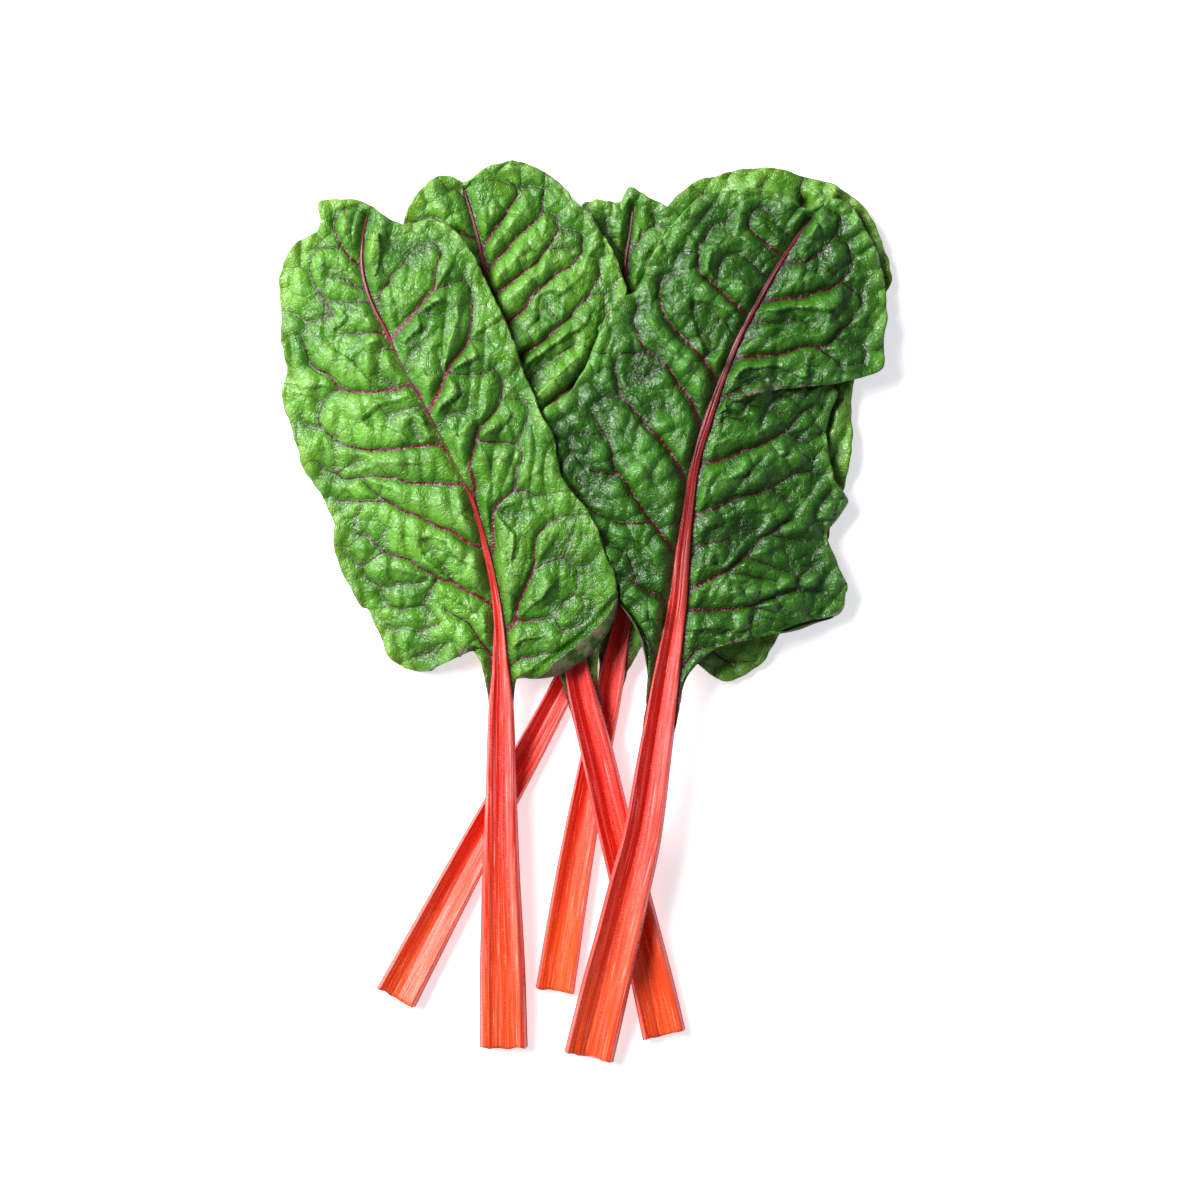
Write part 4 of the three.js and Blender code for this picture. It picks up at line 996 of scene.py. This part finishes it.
def leaf_upper(name, look, depth):
    """Fresh chard leaf, upper side: a thin clear wax over green tissue. The wax gives a soft wet
    gloss that breaks up on the puckers, and the red sap shows through every vein. Painted light and
    shade stand in for the light on the relief: paler swellings, darker hollows, shade beside the rib
    and beside the veins, and a darker half where the margin is least pale."""
    material, tree = new_material(name)
    deep, middle, light, rim, vein_thin, vein_main = (
        mixed(getattr(look, f"fresh_{part}"), getattr(look, f"dark_{part}"), depth)
        for part in ("deep", "middle", "light", "rim", "thin_vein", "main_vein"))
    place = add(tree, "ShaderNodeTexCoord").outputs["Object"]
    patch, spots, grain, creases = (
        add(tree, "ShaderNodeTexNoise", {
            "Vector": place, "Scale": 1 / (wide * MM), "Detail": detail, "Distortion": twist})
        for wide, detail, twist in ((24, 4, 0), (6, 4, 0), (1.6, 4, 0), (4, 3, 1.2)))
    cells = add(tree, "ShaderNodeTexVoronoi", {"Vector": place, "Scale": 1 / (1.5 * MM)},
                voronoi_dimensions="2D", feature="DISTANCE_TO_EDGE")
    ridge = add(tree, "ShaderNodeMath", {0: creases, 1: 0.5}, operation="SUBTRACT")
    ridge = add(tree, "ShaderNodeMath", {0: ridge, 1: 0.0}, operation="ABSOLUTE")
    pale, rise, rim_gap, thick, rib_gap, wing = kept(
        tree, "pale", "rise", "rim_gap", "vein_size", "rib_gap", "wing")
    share = shares(tree, (
        ("patches", patch, 0.35, 0.65, 0, 1),
        ("shaded half", pale, 0.2, 0.7, 0.5, 0),
        ("swellings", rise, 2, 7, 0, 1),
        ("mottle", spots, 0.5, 0.72, 0, 0.3),
        ("margin", rim_gap, 0.5, 8, 1, 0),
        ("margin's patches", patch, 0.35, 0.6, 0.35, 0.9),
        ("hollows", rise, 0.1, 2.2, 0.72, 0),
        ("net's breaks", spots, 0.35, 0.6, 0.45, 0.9),
        ("main veins", thick, 0.3, 0.85, 0, 1),
        ("beside the rib", rib_gap, 0, 2.6, 0.7, 0),
        ("lip", rim_gap, 0.2, 0.8, 0.6, 0),
        ("lip's patches", spots, 0.5, 0.6, 0, 1),
        ("cells", cells, 0, 0.25, 0, 1),
        ("creases", ridge, 0, 0.12, 0, 1),
        ("wax", grain, 0.3, 0.7, 0.2, 0.32),
    ))
    vein = line_mask(tree, "vein", thick, 0.16)
    net = add(tree, "ShaderNodeMath", {
        0: line_mask(tree, "net", 0.14, 0.16), 1: share["net's breaks"]}, operation="MULTIPLY")
    vein_shade_width = add(tree, "ShaderNodeMath", {0: thick, 1: 0.7}, operation="ADD")
    core = paint(tree, vein_thin, [(vein_main, share["main veins"])])
    tone = paint(tree, deep, (
        (middle, share["patches"]),
        # painted shade: the half of the blade whose margin is least pale is darkened
        (deep, share["shaded half"]),
        # painted light: pale green over the swellings stands in for the light on their tops
        (light, share["swellings"], 0.7),
        (light, share["mottle"]),
        (rim, share["margin"], share["margin's patches"], pale),
        # painted shade: near-black green in the hollows where the blade dips to its veins
        (linear("#0E2204"), share["hollows"]),
        (vein_thin, line_mask(tree, "mesh", 0.08, 0.14), 0.32),
        (vein_thin, net),
        # painted shade: deep green darkens a band beside each side vein, which lies in a valley
        (deep, line_mask(tree, "vein", vein_shade_width, 0.7), 0.45),
        # painted shade: dark green in the crease beside the rib
        (core, vein),
        (linear("#1C2A10"), share["beside the rib"]),
        (linear("#4A1A20"), wing, 0.9),
        (linear("#6E3A24"), share["lip"], share["lip's patches"]),
    ))
    sunk = add(tree, "ShaderNodeMath", {0: net, 1: -1.0}, operation="MULTIPLY")
    lines = add(tree, "ShaderNodeMath", {0: vein, 1: net}, operation="MAXIMUM")
    lines = add(tree, "ShaderNodeMath", {0: lines, 1: 0.06}, operation="MULTIPLY")
    surface = add(tree, "ShaderNodeBsdfPrincipled", {
        "Base Color": tone,
        "Roughness": add(tree, "ShaderNodeMath", {0: share["wax"], 1: lines}, operation="ADD"),
        "Normal": relief(tree, (
            (share["cells"], 0.4, 0.12),
            (grain, 0.4, 0.14),
            (share["creases"], 0.5, 0.45),
            (spots, 0.5, 0.8),
            (vein, 0.25, 0.35),
            (sunk, 0.2, 0.3),
        )),
        "IOR": 1.46,
    })
    add(tree, "ShaderNodeOutputMaterial", {"Surface": surface})
    return material


def leaf_under(look):
    """Fresh chard leaf, underside: the same tissue with a grey bloom in place of wax, so it is paler
    and nearly matt, and its veins stand out purple."""
    material, tree = new_material("chard_leaf_underside_with_bloom")
    place = add(tree, "ShaderNodeTexCoord").outputs["Object"]
    patch = add(tree, "ShaderNodeTexNoise", {"Vector": place, "Scale": 1 / (7 * MM), "Detail": 5.0})
    share = shares(tree, (
        ("bloom", patch, 0.35, 0.65, 0, 1),
        ("flush", patch, 0.45, 0.65, 0, 0.7),
    ))
    tone = paint(tree, look.under_deep, (
        (look.under_light, share["bloom"]),
        (linear("#5E3C44"), share["flush"]),
        (linear("#5A3040"), line_mask(tree, "net", 0.25, 0.2), 0.7),
        (linear("#6A2432"), line_mask(tree, "vein", *kept(tree, "vein_size"), 0.25)),
    ))
    surface = add(tree, "ShaderNodeBsdfPrincipled", {
        "Base Color": tone, "Roughness": 0.5, "Normal": relief(tree, [(patch, 0.8, 2.5)]),
        "IOR": 1.35})
    add(tree, "ShaderNodeOutputMaterial", {"Surface": surface})
    return material


def stalk_skin(name, look, depth, bloom):
    """Fresh chard stalk: crisp wet flesh under a clear skin, with strings that run its whole length.
    The strings catch the light as fine pale lines, and the red turns to orange at the foot. One wall of
    the channel carries painted shade in deeper red and the other painted light in pale red, and the
    ripples and glints carry painted highlights."""
    material, tree = new_material(name)
    rib = mixed(look.fresh_rib, look.dark_rib, depth)
    red, shade, foot, pale = look.red, look.shade, look.foot, look.pale
    across, along, wall, at_foot, edge, in_blade, at_tip = kept(
        tree, "across", "along", "wall", "foot", "edge", "blade", "tip")
    grains = []
    for wide, long, detail in (
        (1.3, 70, 2), (0.5, 40, 2), (4, 200, 1), (2, 0.5, 3), (4, 14, 2), (0.7, 26, 1),
    ):
        x = add(tree, "ShaderNodeMath", {0: across, 1: 1 / wide}, operation="MULTIPLY")
        y = add(tree, "ShaderNodeMath", {0: along, 1: 1 / long}, operation="MULTIPLY")
        at = add(tree, "ShaderNodeCombineXYZ", {0: x, 1: y})
        grains.append(add(tree, "ShaderNodeTexNoise", {"Vector": at, "Scale": 1, "Detail": detail}))
    string, fine, band, ripple, patch, glint = grains
    share = shares(tree, (
        ("bands", band, 0.35, 0.6, 0, 1),
        ("shaded wall", wall, -0.5, -0.05, 0.7, 0),
        ("lit wall", wall, 0.05, 0.5, 0, bloom),
        ("lit wall's patches", patch, 0.3, 0.6, 0.5, 1),
        ("strings", string, 0.54, 0.64, 0, 0.15 + bloom / 2),
        ("grooves", string, 0.36, 0.46, 0.55, 0),
        ("fine strings", fine, 0.5, 0.68, 0, 0.1 + bloom / 2),
        ("fine grooves", fine, 0.34, 0.46, 0.4, 0),
        ("ripples", ripple, 0.52, 0.66, 0, 1),
        ("ripples' patches", patch, 0.45, 0.62, 0, 1),
        ("glints", glint, 0.65, 0.72, 0, 0.5),
        ("strip", edge, 0.14, 0.2, 0.6, 0),
        ("rim", edge, 0, 0.07, 0.8, 0),
        ("wet skin", ripple, 0.3, 0.7, 0.22, 0.4),
    ))
    ripples = add(tree, "ShaderNodeMath", {
        0: share["ripples"], 1: share["ripples' patches"]}, operation="MULTIPLY")
    string_colour = paint(tree, pale, [(linear("#FF8E5E"), at_foot)])
    tone = paint(tree, shade, (
        (red, share["bands"]),
        # painted shade: the wall of the channel that faces away from the light is deeper red
        (shade, share["shaded wall"]),
        # painted light: pale red over the wall that faces the light
        (pale, share["lit wall"], share["lit wall's patches"]),
        (foot, at_foot),
        (string_colour, share["strings"]),
        (shade, share["grooves"]),
        (string_colour, share["fine strings"]),
        (shade, share["fine grooves"]),
        # painted highlight: pale streaks on the ripples where the wet skin catches the light
        (string_colour, ripples, 0.35),
        # painted highlight: the glints
        (linear("#FFC0B4"), share["glints"]),
        (linear("#EE665E"), share["strip"]),
        (linear("#B02840"), share["rim"]),
        (rib, in_blade, 0.85),
        (linear("#541420"), at_tip, 0.8),
    ))
    surface = add(tree, "ShaderNodeBsdfPrincipled", {
        "Base Color": tone,
        "Roughness": share["wet skin"],
        "Normal": relief(tree, ((string, 0.7, 0.9), (ripples, 0.3, 0.15))),
        "IOR": 1.42,
        "Subsurface Weight": 0.1,
        "Subsurface Radius": (3 * MM, 0.8 * MM, 0.5 * MM),
        "Subsurface Scale": 1.0,
    })
    add(tree, "ShaderNodeOutputMaterial", {"Surface": surface})
    return material


def stalk_cut():
    """Fresh chard stalk, knife-cut across: pale wet flesh with a ring of darker strings cut through,
    which show as dots a millimetre wide."""
    material, tree = new_material("chard_stalk_knife_cut_end")
    place = add(tree, "ShaderNodeTexCoord").outputs["Object"]
    dots = add(tree, "ShaderNodeTexVoronoi", {"Vector": place, "Scale": 1 / (2.4 * MM)},
               voronoi_dimensions="3D", feature="F1")
    flesh = shares(tree, [("flesh", dots, 0.16, 0.34, 0, 1)])["flesh"]
    surface = add(tree, "ShaderNodeBsdfPrincipled", {
        "Base Color": paint(tree, linear("#D8402C"), [(linear("#F7B49A"), flesh)]),
        "Roughness": 0.3,
        "IOR": 1.4,
    })
    add(tree, "ShaderNodeOutputMaterial", {"Surface": surface})
    return material


def table_top():
    """Opal acrylic light table, cast and lit softly from below: plain white, with only a faint shadow
    under the leaves."""
    material, tree = new_material("opal_acrylic_light_table")
    surface = add(tree, "ShaderNodeBsdfPrincipled", {
        "Base Color": linear("#F4F4F8"), "Roughness": 0.9, "Specular IOR Level": 0.1,
        "Emission Color": linear("#FFFFFF"), "Emission Strength": 0.58})
    add(tree, "ShaderNodeOutputMaterial", {"Surface": surface})
    return material


# ---------------------------------------------------------------- settings


def colour(name, description, hex_colour):
    """A colour that the user can change."""
    return bpy.props.FloatVectorProperty(
        name=name, description=description, default=linear(hex_colour), size=4, min=0, max=1,
        subtype="COLOR")


class ChardStalkSettings(bpy.types.PropertyGroup):
    ridge_height: bpy.props.FloatProperty(
        name="Ridge height", description="How far the strings stand out of a stalk",
        default=0.34 * MM, min=0, max=1 * MM, unit="LENGTH", precision=5)
    stalk_grid: bpy.props.IntVectorProperty(
        name="Stalk grid", description="Faces round a stalk, and along it",
        size=2, default=(96, 260), min=8)
    red: colour("Skin", "Red of a stalk's skin", "#E83024")
    # shade also paints the shade on one wall of a stalk's channel, and pale paints the light on the
    # other wall
    shade: colour("Grooves", "Deeper red in the grooves and in one wall of the channel", "#D81A08")
    pale: colour("Strings", "Pale red of the strings and of the other wall", "#FB857E")
    foot: colour("Foot", "Orange that the skin turns to at the cut foot", "#F8500E")
    fresh_rib: colour("Rib, fresh leaf", "Red of the rib in the palest leaf", "#861014")
    dark_rib: colour("Rib, dark leaf", "Red of the rib in the darkest leaf", "#6C0A08")


class ChardBladeSettings(bpy.types.PropertyGroup):
    blade_thickness: bpy.props.FloatProperty(
        name="Thickness", description="Thickness of a leaf blade",
        default=0.5 * MM, min=0.2 * MM, max=2 * MM, unit="LENGTH", precision=5)
    rib_overlap: bpy.props.FloatProperty(
        name="Overlap with rib", description="How far a blade runs into the flank of its rib",
        default=0.6 * MM, min=0, max=2 * MM, unit="LENGTH", precision=5)
    pillow_height: bpy.props.FloatProperty(
        name="Pillow height", description="How far the blade swells between its side veins",
        default=4.8 * MM, min=0, max=8 * MM, unit="LENGTH", precision=5)
    pucker_height: bpy.props.FloatProperty(
        name="Pucker height", description="How far the blade swells between its small veins",
        default=1.3 * MM, min=0, max=4 * MM, unit="LENGTH", precision=5)
    fold_height: bpy.props.FloatProperty(
        name="Fold height", description="Height of the soft folds that cross the veins",
        default=3.2 * MM, min=0, max=6 * MM, unit="LENGTH", precision=5)
    roll_radius: bpy.props.FloatProperty(
        name="Roll radius", description="How tightly a rolled margin turns over",
        default=1.3 * MM, min=0.3 * MM, max=4 * MM, unit="LENGTH", precision=5)
    # The deep greens also paint the shade on a blade's darker half and beside its veins; the light
    # greens paint the light on its swellings as well as its paler mottle.
    fresh_deep: colour("Fresh, hollows", "Green of the palest leaf's hollows", "#34700E")
    fresh_middle: colour("Fresh, middle", "Green of most of the palest leaf", "#5E9A28")
    fresh_light: colour("Fresh, swellings", "Green of the palest leaf's swellings", "#74A644")
    fresh_rim: colour("Fresh, margin", "Green of the palest leaf's margin", "#6C9A2C")
    fresh_thin_vein: colour("Fresh, thin veins", "Palest leaf's thin veins", "#3A1418")
    fresh_main_vein: colour("Fresh, main veins", "Palest leaf's main side veins", "#5E1216")
    dark_deep: colour("Dark, hollows", "Green of the darkest leaf's hollows", "#1C4A05")
    dark_middle: colour("Dark, middle", "Green of most of the darkest leaf", "#306410")
    dark_light: colour("Dark, swellings", "Green of the darkest leaf's swellings", "#4C8A2A")
    dark_rim: colour("Dark, margin", "Green of the darkest leaf's margin", "#5E9A32")
    dark_thin_vein: colour("Dark, thin veins", "Darkest leaf's thin veins", "#260A0A")
    dark_main_vein: colour("Dark, main veins", "Darkest leaf's main side veins", "#480C0C")
    under_deep: colour("Underside", "Green of the underside", "#24380F")
    under_light: colour("Underside, bloom", "Grey-green of the underside's bloom", "#4C6A30")
    shown_grid: bpy.props.IntVectorProperty(
        name="Upper leaves' grid", description="Faces from rib to margin, and round the margin",
        size=2, default=(64, 690), min=8)
    hidden_grid: bpy.props.IntVectorProperty(
        name="Lower leaves' grid", description="Faces from rib to margin, and round the margin",
        size=2, default=(48, 460), min=8)


class ChardStageSettings(bpy.types.PropertyGroup):
    view_width: bpy.props.FloatProperty(
        name="View width", description="Width of table that the camera sees",
        default=540 * MM, min=0.3, max=2, unit="LENGTH")
    camera_height: bpy.props.FloatProperty(
        name="Camera height", description="Height of the camera above the table",
        default=1.5, min=0.5, max=5, unit="LENGTH")
    key_power: bpy.props.FloatProperty(
        name="Window light", description="Power of the broad light on the left",
        default=64, min=0, unit="POWER")
    wall_light: bpy.props.FloatProperty(
        name="Wall light", description="Brightness of the room near the table's level",
        default=0.48, min=0)
    ceiling_light: bpy.props.FloatProperty(
        name="Ceiling light", description="Brightness of the room straight above the table",
        default=0.08, min=0)


# ---------------------------------------------------------------- operators


class CHARD_OT_build_leaves(bpy.types.Operator):
    """Build the five leaves, each a stalk with its rib and a blade, from the uppermost down"""

    bl_idname = "chard.build_leaves"
    bl_label = "Build leaves"

    def execute(self, context):
        scene = context.scene
        stalks, blades = scene.chard_stalks, scene.chard_blades
        noise.seed_set(NOISE_SEED)
        lid = Lid()
        under = leaf_under(blades)
        cut = stalk_cut()
        for name, leaf in LEAVES.items():
            skin = stalk_skin(f"chard_stalk_fresh_skin_{name}", stalks, leaf["depth"], leaf["bloom"])
            stalk, shift, xy, z = build_stalk(name, leaf, stalks, [skin, cut])
            upper = leaf_upper(f"chard_leaf_waxy_upper_side_{name}", blades, leaf["depth"])
            blade = build_blade(name, leaf, blades, lid, shift, [upper, under])
            lid.add(xy, z)
            for piece, node, slot in (
                (stalk, f"stalk_{name}", "stalk"),
                (blade, f"blade_{name}", "blade"),
            ):
                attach(piece, "root")
                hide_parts(node)
        return {"FINISHED"}


class CHARD_OT_build_stage(bpy.types.Operator):
    """Build the table top, the light and the camera that looks straight down"""

    bl_idname = "chard.build_stage"
    bl_label = "Build stage"

    def execute(self, context):
        scene = context.scene
        settings = scene.chard_stage
        low, high = cad_box
        middle = (low + high) / 2
        bm = bmesh.new()
        bmesh.ops.create_grid(bm, x_segments=1, y_segments=1, size=TABLE_HALF)
        corners = coordinates(bm)
        floor = object_from(bm, "table_top", corners, [table_top()])
        world = bpy.data.worlds.new("studio")
        world.use_nodes = True
        tree = world.node_tree
        up = add(tree, "ShaderNodeSeparateXYZ",
                 {0: add(tree, "ShaderNodeTexCoord").outputs["Generated"]}).outputs[2]
        background = tree.nodes["Background"]
        background.inputs["Color"].default_value = linear("#F2F5FF")
        glow = shares(tree, [
            ("glow", up, 0.25, 0.95, settings.wall_light, settings.ceiling_light)])["glow"]
        tree.links.new(glow.outputs[0], background.inputs["Strength"])
        scene.world = world
        lamp = bpy.data.lights.new("window", "AREA")
        lamp.shape = "RECTANGLE"
        lamp.size = lamp.size_y = WINDOW_SIZE * MM
        lamp.energy = settings.key_power
        window = bpy.data.objects.new("window", lamp)
        x, y, z = (distance * MM for distance in WINDOW_PLACE)
        window.location = (middle.x + x, middle.y + y, z)
        aim = middle - window.location
        window.rotation_mode = "QUATERNION"
        window.rotation_quaternion = aim.to_track_quat("-Z", "Y")
        scene.collection.objects.link(window)
        lens = bpy.data.cameras.new("camera")
        lens.lens = lens.sensor_width * settings.camera_height / settings.view_width
        camera = bpy.data.objects.new("camera", lens)
        x, y = (distance * MM for distance in CAMERA_SHIFT)
        camera.location = (middle.x + x, middle.y + y, settings.camera_height)
        scene.collection.objects.link(camera)
        scene.camera = camera
        scene.view_settings.view_transform = "Standard"
        return {"FINISHED"}


class CHARD_PT_panel(bpy.types.Panel):
    """Lists what the add-on builds, with its sizes"""

    bl_idname = "CHARD_PT_panel"
    bl_label = "Swiss Chard Bunch"
    bl_space_type = "VIEW_3D"
    bl_region_type = "UI"
    bl_category = "Chard"

    def draw(self, context):
        scene = context.scene
        for settings in (scene.chard_stalks, scene.chard_blades, scene.chard_stage):
            for name in settings.__annotations__:
                self.layout.prop(settings, name)
        self.layout.operator(CHARD_OT_build_leaves.bl_idname)
        self.layout.operator(CHARD_OT_build_stage.bl_idname)


CLASSES = (
    ChardStalkSettings,
    ChardBladeSettings,
    ChardStageSettings,
    CHARD_OT_build_leaves,
    CHARD_OT_build_stage,
    CHARD_PT_panel,
)


def register():
    for cls in CLASSES:
        bpy.utils.register_class(cls)
    scene = bpy.types.Scene
    scene.chard_stalks = bpy.props.PointerProperty(type=ChardStalkSettings)
    scene.chard_blades = bpy.props.PointerProperty(type=ChardBladeSettings)
    scene.chard_stage = bpy.props.PointerProperty(type=ChardStageSettings)


def unregister():
    del bpy.types.Scene.chard_stalks
    del bpy.types.Scene.chard_blades
    del bpy.types.Scene.chard_stage
    for cls in reversed(CLASSES):
        bpy.utils.unregister_class(cls)


def main():
    register()
    bpy.ops.chard.build_leaves()
    bpy.ops.chard.build_stage()


if __name__ == "__main__":
    main()
